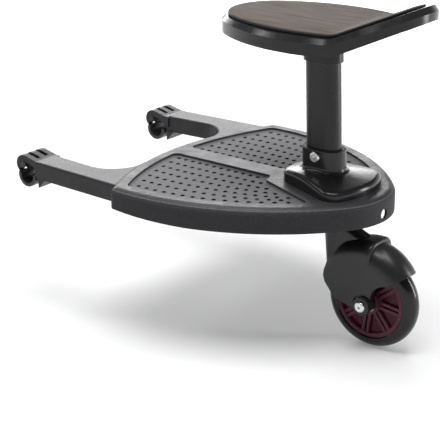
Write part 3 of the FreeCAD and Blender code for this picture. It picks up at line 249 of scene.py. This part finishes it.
floor_mesh = bpy.data.meshes.new("floor")
floor_points = [(sx * FLOOR_HALF, sy * FLOOR_HALF, FLOOR_Z) for sx, sy in FLOOR_CORNERS]
floor_mesh.from_pydata(floor_points, [], [(0, 1, 2, 3)])
floor_mesh.materials.append(floor_paint())
floor = bpy.data.objects.new("floor", floor_mesh)
scene.collection.objects.link(floor)
print("floor at", round(FLOOR_Z, 4))

# %% [markdown]
# ## Finishes
# Moulded plastic is never one flat colour. Three things make it: a fine grain left by the mould, which
# is a bump; slow changes of shade from the flow of the melt; and a roughness that varies a little. One
# helper makes every plain plastic and rubber here, each with its own numbers. It reads Object
# coordinates and not an image, so the grain has a real size in metres and stays with the piece.

# %% Helpers for finishes
NOISE_LOW = 0.3         # most of a noise lies between these two
NOISE_HIGH = 0.7
GRAIN_STRENGTH = 0.6
MELT_FLOW = 18.0        # slow changes of shade, in cells per metre
ROUGH_PATCH = 4         # a patch of one roughness is this many cells of the grain wide


def new_finish(name, specular=0.5):
    """New material with a Principled shader; returns the material, its tree and the shader."""
    material = bpy.data.materials.new(name)
    material.use_nodes = True
    shader = material.node_tree.nodes["Principled BSDF"]
    shader.inputs["Specular IOR Level"].default_value = specular
    return material, material.node_tree, shader


def noise(tree, cells, detail=2.0, squeeze=(1.0, 1.0, 1.0)):
    """Noise in cells per metre; squeeze packs it closer along an axis or, below 1, draws it out."""
    place = tree.nodes.new("ShaderNodeTexCoord")
    mapping = tree.nodes.new("ShaderNodeMapping")
    mapping.inputs["Scale"].default_value = squeeze
    texture = tree.nodes.new("ShaderNodeTexNoise")
    texture.inputs["Scale"].default_value = cells
    texture.inputs["Detail"].default_value = detail
    tree.links.new(place.outputs["Object"], mapping.inputs["Vector"])
    tree.links.new(mapping.outputs["Vector"], texture.inputs["Vector"])
    return texture.outputs["Fac"]


def spread(tree, value, low, high):
    """Maps the middle of a noise to a range of numbers."""
    return remap(tree, value, NOISE_LOW, NOISE_HIGH, low, high)


def mix_colours(tree, share, first, second):
    """Mixes two colours by a share; each is four numbers or another node's output."""
    mix = tree.nodes.new("ShaderNodeMix")
    mix.data_type = "RGBA"
    colours = [socket for socket in mix.inputs if socket.type == "RGBA"]
    tree.links.new(share, mix.inputs["Factor"])
    feed(tree, first, colours[0])
    feed(tree, second, colours[1])
    return [socket for socket in mix.outputs if socket.type == "RGBA"][0]


def shades(tree, value, dark, light):
    """Mixes two shades by a noise."""
    return mix_colours(tree, spread(tree, value, 0.0, 1.0), (*dark, 1.0), (*light, 1.0))


def bump(tree, shader, height, depth, strength=GRAIN_STRENGTH):
    """Adds a bump of a real depth, in metres."""
    node = tree.nodes.new("ShaderNodeBump")
    node.inputs["Distance"].default_value = depth
    node.inputs["Strength"].default_value = strength
    tree.links.new(height, node.inputs["Height"])
    tree.links.new(node.outputs["Normal"], shader.inputs["Normal"])


def moulded(name, dark, light, rough, grain, grain_depth, flow=MELT_FLOW, specular=0.5):
    """Moulded plastic or rubber: two shades and a range of roughness; grain and flow in cells per metre."""
    material, tree, shader = new_finish(name, specular)
    tree.links.new(shades(tree, noise(tree, flow, detail=3.0), dark, light), shader.inputs["Base Color"])
    tree.links.new(spread(tree, noise(tree, grain / ROUGH_PATCH), *rough), shader.inputs["Roughness"])
    bump(tree, shader, noise(tree, grain, detail=1.0), grain_depth)
    return material


print("finish helpers ready")

# %% [markdown]
# ### Plain plastics and rubber
# The arms are charcoal plastic with the mould's fine grain, the seat shell is polished black, and the
# fork, the hooks and their pins are satin black. The tyre is shiny polyurethane and the swivel's bushes
# are white. They differ only in their numbers, so one helper makes them all.

# %% Plain plastics and rubber
ARM_PLASTIC = moulded(
    "arm_charcoal", dark=(0.022, 0.022, 0.024), light=(0.036, 0.036, 0.039), rough=(0.36, 0.47),
    grain=1300, grain_depth=0.00018, flow=45.0, specular=0.28,
)
SEAT_PLASTIC = moulded(
    "seat_black", dark=(0.013, 0.013, 0.014), light=(0.019, 0.019, 0.020), rough=(0.15, 0.24),
    grain=500, grain_depth=0.00003, specular=0.30,
)
FORK_PLASTIC = moulded(
    "satin_black", dark=(0.022, 0.022, 0.022), light=(0.031, 0.031, 0.030), rough=(0.28, 0.36),
    grain=900, grain_depth=0.00002, specular=0.42,
)
TYRE_RUBBER = moulded(
    "black_tyre", dark=(0.009, 0.009, 0.010), light=(0.014, 0.014, 0.016), rough=(0.10, 0.18),
    grain=400, grain_depth=0.00002, specular=0.36,
)
BUSH_PLASTIC = moulded(
    "bush_white", dark=(0.55, 0.55, 0.50), light=(0.66, 0.66, 0.61), rough=(0.35, 0.5),
    grain=800, grain_depth=0.00004,
)
plain_finishes = (ARM_PLASTIC, SEAT_PLASTIC, FORK_PLASTIC, TYRE_RUBBER, BUSH_PLASTIC)
print("plain finishes:", [material.name for material in plain_finishes])

# %% [markdown]
# ### Deck
# The deck is one moulding, but its faces differ: the sunk tread panels are coarse and look paler, the
# border round them is smoother, and the outer walls are matt and painted darker, as painted shade where
# they turn away from the overhead light. An image could tell them apart.
# Here the height of a face does, because panels, border and walls lie at different levels, and so one
# material serves them all.

# %% Deck plastic
PANEL_DEPTH = 0.003
PANEL_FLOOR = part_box("deck_shell")[1][2] - PANEL_DEPTH
BORDER_STARTS = 0.0003    # these four are heights above or away from the panels' floor
BORDER_FULL = 0.0010
PANEL_FULL = 0.0003
PANEL_ENDS = 0.0008
# the walls' darker colour is painted shade, for faces that turn away from the overhead light
WALL_PAINTED_SHADE = ((0.034, 0.034, 0.037), (0.056, 0.056, 0.060))
BORDER_SHADES = ((0.044, 0.044, 0.047), (0.060, 0.060, 0.064))
PANEL_SHADES = ((0.070, 0.070, 0.075), (0.185, 0.185, 0.195))
MATT_ROUGH = 0.70
BORDER_ROUGH = (0.40, 0.52)
BORDER_FLOW = 40.0        # these five are in cells per metre
BORDER_POLISH = 60.0
DECK_SPECKLE = 900.0
DECK_WAVES = 170.0
DECK_GRAIN = 1300.0
WAVE_SHARE = 4.0          # height of the slow waves in the plastic, in heights of its grain
DECK_RELIEF = 0.00022


def object_place(tree, axis):
    """One of the Object coordinates."""
    place = tree.nodes.new("ShaderNodeTexCoord")
    split = tree.nodes.new("ShaderNodeSeparateXYZ")
    tree.links.new(place.outputs["Object"], split.inputs[0])
    return split.outputs[axis]


def offset_from(tree, value, level):
    """Distance of a coordinate from a level."""
    return work_out(tree, "ABSOLUTE", work_out(tree, "SUBTRACT", value, level))


def deck_plastic():
    """Deck's plastic by height: walls in painted shade, a smooth border above, paler coarse tread panels.
    """
    material, tree, shader = new_finish("deck_charcoal", specular=0.34)
    height = object_place(tree, "Z")
    border = remap(tree, height, PANEL_FLOOR + BORDER_STARTS, PANEL_FLOOR + BORDER_FULL)
    panel = remap(tree, offset_from(tree, height, PANEL_FLOOR), PANEL_ENDS, PANEL_FULL)
    speckle = noise(tree, DECK_SPECKLE)
    border_shade = shades(tree, noise(tree, BORDER_FLOW, detail=4.0), *BORDER_SHADES)
    # below the border the walls take the painted shade
    plain = mix_colours(tree, border, shades(tree, speckle, *WALL_PAINTED_SHADE), border_shade)
    colour = mix_colours(tree, panel, plain, shades(tree, speckle, *PANEL_SHADES))
    tree.links.new(colour, shader.inputs["Base Color"])
    border_rough = spread(tree, noise(tree, BORDER_POLISH, detail=3.0), *BORDER_ROUGH)
    tree.links.new(remap(tree, border, 0.0, 1.0, MATT_ROUGH, border_rough), shader.inputs["Roughness"])
    relief = work_out(tree, "MULTIPLY_ADD", noise(tree, DECK_WAVES), WAVE_SHARE, noise(tree, DECK_GRAIN))
    bump(tree, shader, relief, DECK_RELIEF)
    return material


DECK_PLASTIC = deck_plastic()
print("deck:", DECK_PLASTIC.name, "panels' floor at", round(PANEL_FLOOR, 4))

# %% [markdown]
# ### Socket of the seat
# The socket under the post is polished black all over, but the rim on top of its collar is matt. A
# second material would need faces picked out on the CAD mesh. The height of the rim does the same with
# one material.

# %% Socket plastic
COLLAR_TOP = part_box("seat_socket")[1][2]
COLLAR_RIM_STARTS = 0.0012    # both below the collar's top
COLLAR_RIM_FULL = 0.0004
COLLAR_RIM_ROUGH = 0.62
POLISHED_ROUGH = (0.18, 0.24)
SOCKET_SHADES = ((0.017, 0.017, 0.018), (0.024, 0.024, 0.025))
SOCKET_GRAIN = 500.0          # in cells per metre
SOCKET_GRAIN_DEPTH = 0.000002


def socket_plastic():
    """Polished black, matt on the collar's rim."""
    material, tree, shader = new_finish("polished_black", specular=0.42)
    black = shades(tree, noise(tree, MELT_FLOW, detail=3.0), *SOCKET_SHADES)
    tree.links.new(black, shader.inputs["Base Color"])
    polished = spread(tree, noise(tree, SOCKET_GRAIN / ROUGH_PATCH), *POLISHED_ROUGH)
    rim_starts = COLLAR_TOP - COLLAR_RIM_STARTS
    rim_full = COLLAR_TOP - COLLAR_RIM_FULL
    rough = remap(tree, object_place(tree, "Z"), rim_starts, rim_full, polished, COLLAR_RIM_ROUGH)
    tree.links.new(rough, shader.inputs["Roughness"])
    bump(tree, shader, noise(tree, SOCKET_GRAIN, detail=1.0), SOCKET_GRAIN_DEPTH)
    return material


SOCKET_PLASTIC = socket_plastic()
print("socket:", SOCKET_PLASTIC.name, "collar's top at", round(COLLAR_TOP, 4))

# %% [markdown]
# ### Rim of the wheel
# The rim is moulded in wine red. Its pockets between the spokes are painted deeper red, as painted shade
# in the recesses, and the spokes and the ring that stand above them are painted paler, as painted
# highlight. The distance from the wheel's middle plane tells the two apart.

# %% Rim plastic
RIM_MIDDLE_Y = sum(corner[1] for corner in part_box("wheel_rim")) / 2
RIM_WEB_HALF = 0.0065
SPOKE_STARTS = 0.0002    # both above the web between the spokes
SPOKE_FULL = 0.0012
# the pockets take painted shade, the raised spokes and ring a painted highlight
POCKET_PAINTED_SHADE = ((0.088, 0.001, 0.016), (0.125, 0.002, 0.024))
SPOKE_PAINTED_HIGHLIGHT = ((0.155, 0.042, 0.068), (0.200, 0.058, 0.088))
RIM_ROUGH = (0.24, 0.34)
RIM_GRAIN = 700.0        # in cells per metre
RIM_GRAIN_DEPTH = 0.00004


def rim_plastic():
    """Wine red, with painted shade in the pockets and painted highlight on the spokes and ring above them.
    """
    material, tree, shader = new_finish("wine_red_rim", specular=0.25)
    depth = offset_from(tree, object_place(tree, "Y"), RIM_MIDDLE_Y)
    # share of the painted highlight on the raised spokes and ring
    raised = remap(tree, depth, RIM_WEB_HALF + SPOKE_STARTS, RIM_WEB_HALF + SPOKE_FULL)
    flow = noise(tree, MELT_FLOW, detail=3.0)
    shaded_pocket = shades(tree, flow, *POCKET_PAINTED_SHADE)
    lit_spoke = shades(tree, flow, *SPOKE_PAINTED_HIGHLIGHT)
    tree.links.new(mix_colours(tree, raised, shaded_pocket, lit_spoke), shader.inputs["Base Color"])
    rough = spread(tree, noise(tree, RIM_GRAIN / ROUGH_PATCH), *RIM_ROUGH)
    tree.links.new(rough, shader.inputs["Roughness"])
    bump(tree, shader, noise(tree, RIM_GRAIN, detail=1.0), RIM_GRAIN_DEPTH)
    return material


RIM_PLASTIC = rim_plastic()
print("rim:", RIM_PLASTIC.name, "middle at", round(RIM_MIDDLE_Y, 4))

# %% [markdown]
# ### Metals
# The post is a steel tube under satin charcoal paint with a faint orange peel, so it is made like a
# plastic with a wide and very shallow grain. The screws, bolts, nuts, bearings, washer, sleeve and stem
# are bright plated steel. One noise, drawn out along the wheel's axle, gives them faint streaks: it sets
# shade, roughness and bump.

# %% Metals
STEEL_SHADES = ((0.62, 0.62, 0.62), (0.76, 0.76, 0.76))
STEEL_ROUGH = (0.20, 0.30)
STREAKS = 900             # in cells per metre
STREAK_SQUEEZE = (1.0, 0.12, 1.0)
STREAK_DEPTH = 0.00001
STREAK_STRENGTH = 0.2


def plated_steel():
    """Zinc plating: bright metal with faint streaks in the direction of the wheel's axle."""
    material, tree, shader = new_finish("plated_steel")
    shader.inputs["Metallic"].default_value = 1.0
    streaks = noise(tree, STREAKS, detail=3.0, squeeze=STREAK_SQUEEZE)
    tree.links.new(shades(tree, streaks, *STEEL_SHADES), shader.inputs["Base Color"])
    tree.links.new(spread(tree, streaks, *STEEL_ROUGH), shader.inputs["Roughness"])
    bump(tree, shader, streaks, STREAK_DEPTH, STREAK_STRENGTH)
    return material


POST_PAINT = moulded(
    "post_paint", dark=(0.024, 0.024, 0.022), light=(0.034, 0.034, 0.032), rough=(0.26, 0.36),
    grain=260, grain_depth=0.000008, specular=0.34,
)
STEEL = plated_steel()
print("metals:", POST_PAINT.name, STEEL.name)

# %% [markdown]
# ### Finishes on the CAD pieces
# The record names a material slot for each CAD node, so the finishes are handed out by slot and not node
# by node. The arms and the seat shell share a slot with other pieces but look different, so those three
# are named.

# %% Finishes on the CAD pieces
FINISH_OF_SLOT = {
    "deck_plastic": DECK_PLASTIC,
    "gloss_black": SOCKET_PLASTIC,
    "satin_black": FORK_PLASTIC,
    "post_paint": POST_PAINT,
    "rim_red": RIM_PLASTIC,
    "tyre_black": TYRE_RUBBER,
    "steel": STEEL,
    "bush_plastic": BUSH_PLASTIC,
}
FINISH_OF_NODE = {"left_arm": ARM_PLASTIC, "right_arm": ARM_PLASTIC, "seat_shell": SEAT_PLASTIC}
for entry in frame["record"]["subparts"]:
    finish = FINISH_OF_NODE.get(entry["node"], FINISH_OF_SLOT.get(entry["material_slot"]))
    if finish is not None:
        mesh = nodes[entry["node"]].data
        mesh.materials.clear()
        mesh.materials.append(finish)
print("finished nodes:", sum(1 for o in nodes.values() if o.data.materials))

# %% [markdown]
# ## Grip dimples
# Each tread panel has seven rows of small dimples. The innermost row is straight, the outermost follows
# the deck's curved side, and the rows between change over evenly. Every row starts at the same distance
# from the curved front edge. A square grid would cut across those curves, so the places are worked out
# in plan from the deck's own arcs.

# %% Places of the dimples
DECK_FRONT_X = 0.1135
FRONT_R = 0.345
FRONT_CENTRE_X = DECK_FRONT_X + FRONT_R
SIDE_CENTRE = (0.18107, -0.11675)    # middle of the right side's arc, beyond the deck's middle line
SIDE_R = 0.280
FRONT_BORDER = 0.0175     # borders lie between the edges of the deck or the socket and the panel
SIDE_BORDER = 0.018
SOCKET_BORDER = 0.015
PANEL_INNER_Y = 0.014
FRONT_GAP = 0.012         # gaps lie between the panel's edges and the middles of the nearest dimples
SIDE_GAP = 0.0135
SOCKET_GAP = 0.007
INNER_GAP = 0.009
FRONT_MARGIN = FRONT_BORDER + FRONT_GAP
SIDE_MARGIN = SIDE_BORDER + SIDE_GAP
SOCKET_MARGIN = SOCKET_BORDER + SOCKET_GAP
FIRST_ROW_Y = PANEL_INNER_Y + INNER_GAP
POST_X = 0.341
SOCKET_FRONT = 0.048      # socket's front edge, ahead of the post's axis
SOCKET_FRONT_HALF = 0.020
SOCKET_SIDE = 0.036       # socket's widest place, behind the post's axis
SOCKET_SIDE_HALF = 0.056
SOCKET_FRONT_X = POST_X - SOCKET_FRONT
SOCKET_SIDE_SLOPE = (SOCKET_SIDE_HALF - SOCKET_FRONT_HALF) / (SOCKET_SIDE + SOCKET_FRONT)
SLOPE_STRETCH = 1.1       # the socket's side slopes, so a margin beside it is longer along Y
DIMPLE_ROWS = 7
DIMPLE_PITCH = 0.0108
OUTER_PITCH_GROWTH = 0.12
START_STEPS = 8           # rounds that bring a row's start to rest


def row_y(share, x):
    """Distance of a row from the deck's middle: straight inside, along the deck's side outside."""
    outer = SIDE_CENTRE[1] + math.sqrt((SIDE_R - SIDE_MARGIN) ** 2 - (x - SIDE_CENTRE[0]) ** 2)
    return FIRST_ROW_Y + share * (outer - FIRST_ROW_Y)


def row_start(share):
    """First place of a row, on the arc that lies the front margin inside the deck's front edge."""
    x = DECK_FRONT_X
    for _ in range(START_STEPS):
        x = FRONT_CENTRE_X - math.sqrt((FRONT_R - FRONT_MARGIN) ** 2 - row_y(share, x) ** 2)
    return x


def beside_socket(x, y):
    """True where the socket's border leaves no room."""
    half = SOCKET_FRONT_HALF + (x - SOCKET_FRONT_X) * SOCKET_SIDE_SLOPE
    return x > SOCKET_FRONT_X - SOCKET_MARGIN and y < half + SOCKET_MARGIN * SLOPE_STRETCH


dimple_spots = []
for row in range(DIMPLE_ROWS):
    share = row / (DIMPLE_ROWS - 1)
    x = row_start(share)
    while x < SIDE_CENTRE[0] + SIDE_R:
        y = row_y(share, x)
        if beside_socket(x, y) or y < FIRST_ROW_Y:
            break
        dimple_spots.append((x, y, PANEL_FLOOR))
        x += DIMPLE_PITCH * (1 + OUTER_PITCH_GROWTH * share)
dimple_spots += [(x, -y, z) for x, y, z in dimple_spots]
print("dimples:", len(dimple_spots))

# %% [markdown]
# A dimple on the real deck is a shallow pit. The panel belongs to CAD and isn't cut here, so the shade in
# each pit is painted as a dark disc in a low lip. Geometry Nodes put both shapes on every point, because
# one tree then serves hundreds of dimples. It has named inputs for their sizes, realizes the copies and
# sets their finishes, so that nothing depends on instances later.

# %% Dimples by Geometry Nodes
DIMPLE_R = 0.0026
DIMPLE_SIDES = 12
LIP_W = 0.0005
LIP_H = 0.00035
DISC_SHARE = 0.3    # the disc lies this far up the lip
# the disc's near-black colour is painted shade for the pit
DIMPLE_PAINTED_SHADE = moulded(
    "dimple_painted_shade", dark=(0.004, 0.004, 0.004), light=(0.008, 0.008, 0.008), rough=(0.7, 0.85),
    grain=900, grain_depth=0.00005, specular=0.0,
)


def dimple_tree():
    """Geometry Nodes group: a disc of painted shade in a low lip on each point of the mesh."""
    group = bpy.data.node_groups.new("dimples", "GeometryNodeTree")
    group.interface.new_socket("Geometry", in_out="INPUT", socket_type="NodeSocketGeometry")
    for name in ("Radius", "Lip width", "Lip height"):
        group.interface.new_socket(name, in_out="INPUT", socket_type="NodeSocketFloat")
    group.interface.new_socket("Geometry", in_out="OUTPUT", socket_type="NodeSocketGeometry")
    add = group.nodes.new
    link = group.links.new
    entry = add("NodeGroupInput")
    result = add("NodeGroupOutput")
    radius = entry.outputs["Radius"]
    lip_height = entry.outputs["Lip height"]
    disc = add("GeometryNodeMeshCircle")
    disc.fill_type = "NGON"
    disc.inputs["Vertices"].default_value = DIMPLE_SIDES
    link(radius, disc.inputs["Radius"])
    level = add("ShaderNodeCombineXYZ")
    link(work_out(group, "MULTIPLY", lip_height, DISC_SHARE), level.inputs["Z"])
    lift = add("GeometryNodeTransform")
    link(disc.outputs["Mesh"], lift.inputs["Geometry"])
    link(level.outputs[0], lift.inputs["Translation"])
    lip = add("GeometryNodeMeshCone")
    lip.fill_type = "NONE"
    lip.inputs["Vertices"].default_value = DIMPLE_SIDES
    link(radius, lip.inputs["Radius Top"])
    link(work_out(group, "ADD", radius, entry.outputs["Lip width"]), lip.inputs["Radius Bottom"])
    link(lip_height, lip.inputs["Depth"])
    join = add("GeometryNodeJoinGeometry")
    for shape, finish in ((lift.outputs["Geometry"], DIMPLE_PAINTED_SHADE), (lip.outputs["Mesh"], DECK_PLASTIC)):
        copies = add("GeometryNodeInstanceOnPoints")
        link(entry.outputs["Geometry"], copies.inputs["Points"])
        link(shape, copies.inputs["Instance"])
        real = add("GeometryNodeRealizeInstances")
        link(copies.outputs["Instances"], real.inputs["Geometry"])
        painted = add("GeometryNodeSetMaterial")
        painted.inputs["Material"].default_value = finish
        link(real.outputs["Geometry"], painted.inputs["Geometry"])
        link(painted.outputs["Geometry"], join.inputs["Geometry"])
    link(join.outputs["Geometry"], result.inputs["Geometry"])
    return group


def plain_mesh(obj):
    """Turns an object with modifiers into an object with a plain mesh."""
    bpy.context.view_layer.update()
    seen_now = obj.evaluated_get(bpy.context.evaluated_depsgraph_get())
    made = bpy.data.meshes.new_from_object(seen_now)
    obj.modifiers.clear()
    obj.data = made


spot_mesh = bpy.data.meshes.new("grip_dimples")
spot_mesh.from_pydata(dimple_spots, [], [])
grip_dimples = bpy.data.objects.new("grip_dimples", spot_mesh)
scene.collection.objects.link(grip_dimples)
modifier = grip_dimples.modifiers.new("dimples", "NODES")
modifier.node_group = dimple_tree()
sizes = {"Radius": DIMPLE_R, "Lip width": LIP_W, "Lip height": LIP_H}
for item in modifier.node_group.interface.items_tree:
    if item.in_out == "INPUT" and item.name in sizes:
        modifier[item.identifier] = sizes[item.name]
plain_mesh(grip_dimples)
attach(grip_dimples, "board")
print("dimple faces:", len(grip_dimples.data.polygons))

# %% [markdown]
# ## Seat pad
# The pad is a thin sheet of foam with a brushed brown-grey cover and a cut edge painted dark, as painted
# shade. It lies on the seat and bends up with the seat's rear lip. A flat plate with a bevel could be bent
# over the lip, but its quads would be uneven. Rings of points that follow the oval give even quads for
# the cloth solver, and each point takes its height from the seat's own bend.

# %% Rings of the pad
pad_low, pad_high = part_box("seat_pad")
PAD_X = (pad_low[0] + pad_high[0]) / 2
PAD_LENGTH = pad_high[0] - pad_low[0]
PAD_WIDTH = pad_high[1] - pad_low[1]
PAD_BASE = pad_low[2]
PAD_END_R = 0.057
PAD_THICK = 0.0040
SEAT_BEND_X = 0.383
SEAT_BEND_R = 0.025
SEAT_LIP_ANGLE = math.radians(23.5)
PAD_AROUND = 120
OUTLINE_STEPS = 2880    # fine steps that measure the way round the oval
PAD_EDGE = (            # inset from the outline and height above the seat, from the foot to the cover
    (0.0012, 0.0000), (0.0003, 0.0003), (0.0000, 0.0010), (0.0000, 0.0024), (0.0003, 0.0033),
    (0.0010, 0.0038), (0.0022, PAD_THICK),
)
PAD_COVER_SHARES = (0.97, 0.93, 0.87, 0.79, 0.70, 0.60, 0.50, 0.40, 0.30, 0.20, 0.10)


def oval_point(angle, inset):
    """Point on the pad's outline by the direction of its normal, moved in by an inset."""
    reach = PAD_LENGTH / 2 - PAD_END_R
    rise = PAD_WIDTH / 2 - PAD_END_R
    side_r = PAD_END_R + (reach * reach + rise * rise) / (2 * rise)
    meet = math.atan2(side_r - PAD_WIDTH / 2, reach)
    turned = math.atan2(math.sin(angle), abs(math.cos(angle)))
    if abs(turned) < meet:
        centre = (reach, 0.0)
        radius = PAD_END_R
    else:
        centre = (0.0, math.copysign(side_r - PAD_WIDTH / 2, -turned))
        radius = side_r
    x = centre[0] + (radius - inset) * math.cos(turned)
    y = centre[1] + (radius - inset) * math.sin(turned)
    return (PAD_X + math.copysign(x, math.cos(angle)), y)


def seat_rise(x):
    """Height of the seat's upper face above its flat part."""
    run = max(0.0, x - SEAT_BEND_X)
    bend = min(run, SEAT_BEND_R * math.sin(SEAT_LIP_ANGLE))
    rise = SEAT_BEND_R - math.sqrt(SEAT_BEND_R ** 2 - bend ** 2)
    return rise + (run - bend) * math.tan(SEAT_LIP_ANGLE)


def outline_angles():
    """Directions that give evenly spaced points round the oval."""
    fine = [2 * math.pi * i / OUTLINE_STEPS for i in range(OUTLINE_STEPS + 1)]
    points = [oval_point(a, 0.0) for a in fine]
    travelled = [0.0]
    for a, b in zip(points, points[1:]):
        travelled.append(travelled[-1] + math.dist(a, b))
    angles = []
    index = 0
    for step in range(PAD_AROUND):
        goal = travelled[-1] * step / PAD_AROUND
        while travelled[index] < goal:
            index += 1
        angles.append(fine[index])
    return angles


def shrunk(plan, share):
    """Ring in plan, drawn in towards the pad's middle."""
    return [(PAD_X + share * (x - PAD_X), share * y) for x, y in plan]


def on_seat(plan, height):
    """Ring in plan, put at a height above the seat."""
    return [(x, y, PAD_BASE + height + seat_rise(x)) for x, y in plan]


angles = outline_angles()
edge_plans = [[oval_point(a, inset) for a in angles] for inset, _ in PAD_EDGE]
rings = [on_seat(plan, height) for plan, (_, height) in zip(edge_plans, PAD_EDGE)]
rings += [on_seat(shrunk(edge_plans[-1], share), PAD_THICK) for share in PAD_COVER_SHARES]
print("pad:", [round(v, 4) for v in (PAD_X, PAD_LENGTH, PAD_WIDTH, PAD_BASE)], "rings:", len(rings))

# %% [markdown]
# The rings run from the pad's foot, over its rounded edge, to the middle of the cover. Wider-spaced
# rings close the underside, so that the foam is a closed body. Quads join each ring to the next, and a
# fan of triangles closes each middle.

# %% Skin over the rings
PAD_UNDER_SHARES = (0.8, 0.6, 0.4, 0.2)


def quads_between(first, second):
    """Quads between two rings, each given by the number of its first point."""
    quads = []
    for step in range(PAD_AROUND):
        turn = (step + 1) % PAD_AROUND
        quads.append((first + step, first + turn, second + turn, second + step))
    return quads


pad_points = [point for ring in rings for point in ring]
top_starts = range(0, len(pad_points), PAD_AROUND)
top_middle = len(pad_points)
pad_points.append((PAD_X, 0.0, PAD_BASE + PAD_THICK))
under_starts = [0]
for share in PAD_UNDER_SHARES:
    under_starts.append(len(pad_points))
    pad_points += on_seat(shrunk(edge_plans[0], share), 0.0)
under_middle = len(pad_points)
pad_points.append((PAD_X, 0.0, PAD_BASE))

pad_faces = []
for first, second in zip(top_starts, top_starts[1:]):
    pad_faces += quads_between(first, second)
for first, second in zip(under_starts, under_starts[1:]):
    pad_faces += quads_between(second, first)
for step in range(PAD_AROUND):
    turn = (step + 1) % PAD_AROUND
    pad_faces.append((top_starts[-1] + step, top_starts[-1] + turn, top_middle))
    pad_faces.append((under_starts[-1] + turn, under_starts[-1] + step, under_middle))
pad_mesh = bpy.data.meshes.new("seat_cushion")
pad_mesh.from_pydata(pad_points, [], pad_faces)
print("pad faces:", len(pad_mesh.polygons))

# %% [markdown]
# Foam under a stretched cover stands up a little. The cover could be raised by a formula, but cloth
# under pressure finds the shape by itself. The underside is glued to the seat and the edge is cut foam,
# so both are held. Gravity is off and the lift is capped at less than a millimetre, so the result is the
# same in every run.

# %% Puffing the cover
PUFF_PRESSURE = 4.0
PUFF_CAP = 0.0009
PUFF_FRAMES = 20

seat_cushion = bpy.data.objects.new("seat_cushion", pad_mesh)
scene.collection.objects.link(seat_cushion)
held = seat_cushion.vertex_groups.new(name="held")
edge_points = len(PAD_EDGE) * PAD_AROUND
held_ids = list(range(edge_points)) + list(range(top_middle + 1, len(pad_points)))
held.add(held_ids, 1.0, "REPLACE")
cloth = seat_cushion.modifiers.new("puff", "CLOTH")
cloth.settings.vertex_group_mass = "held"
cloth.settings.use_pressure = True
cloth.settings.uniform_pressure_force = PUFF_PRESSURE
cloth.settings.effector_weights.gravity = 0.0
cloth.collision_settings.use_collision = False
cloth.point_cache.frame_end = PUFF_FRAMES
for step in range(1, PUFF_FRAMES + 1):
    scene.frame_set(step)
solved = seat_cushion.evaluated_get(bpy.context.evaluated_depsgraph_get()).data
lifted = [v.co.copy() for v in solved.vertices]
seat_cushion.modifiers.clear()
scene.frame_set(1)
for vertex, goal in zip(pad_mesh.vertices, lifted):
    move = goal - vertex.co
    if move.length > PUFF_CAP:
        move.length = PUFF_CAP
    vertex.co += move
seat_cushion.vertex_groups.clear()
print("pad height:", round(max(v.co.z for v in pad_mesh.vertices), 4))

# %% [markdown]
# The cover is a warm grey with faint streaks along the seat, as brushed foam has. A noise that is drawn
# out along the seat and packed closer across it gives the streaks. The cut edge is painted darker, as
# painted shade. Faces on the edge are found by their place in the rings, because they were made first.

# %% Finishes of the pad
COVER_SHADES = ((0.040, 0.029, 0.022), (0.090, 0.069, 0.055))
COVER_ROUGH = (0.62, 0.80)
COVER_SHEEN = 0.03
COVER_STREAKS = 60        # in cells per metre, like the nap
COVER_SQUEEZE = (0.35, 2.4, 1.0)
COVER_NAP = 1600
NAP_DEPTH = 0.00018
NAP_STRENGTH = 0.7


def brushed_cover():
    """Warm grey foam cover: long faint streaks, a fine nap and soft sheen."""
    material, tree, shader = new_finish("brushed_cover", specular=0.14)
    streaks = noise(tree, COVER_STREAKS, detail=5.0, squeeze=COVER_SQUEEZE)
    tree.links.new(shades(tree, streaks, *COVER_SHADES), shader.inputs["Base Color"])
    nap = noise(tree, COVER_NAP)
    tree.links.new(spread(tree, nap, *COVER_ROUGH), shader.inputs["Roughness"])
    bump(tree, shader, nap, NAP_DEPTH, NAP_STRENGTH)
    shader.inputs["Sheen Weight"].default_value = COVER_SHEEN
    return material


PAD_COVER = brushed_cover()
# the edge's near-black colour is painted shade
PAD_EDGE_PAINTED_SHADE = moulded(
    "pad_edge_painted_shade", dark=(0.010, 0.009, 0.009), light=(0.016, 0.015, 0.015), rough=(0.5, 0.65),
    grain=900, grain_depth=0.0001,
)
pad_mesh.materials.append(PAD_COVER)
pad_mesh.materials.append(PAD_EDGE_PAINTED_SHADE)
edge_faces = (len(PAD_EDGE) - 2) * PAD_AROUND    # the last band of the edge already belongs to the cover
for index, face in enumerate(pad_mesh.polygons):
    face.use_smooth = True
    # faces of the edge take the painted shade
    face.material_index = 1 if index < edge_faces else 0
finer = seat_cushion.modifiers.new("finer", "SUBSURF")
finer.levels = 1
finer.render_levels = 1
plain_mesh(seat_cushion)
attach(seat_cushion, "board")
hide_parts("seat_pad")
print("seat cushion ready:", len(seat_cushion.data.polygons))
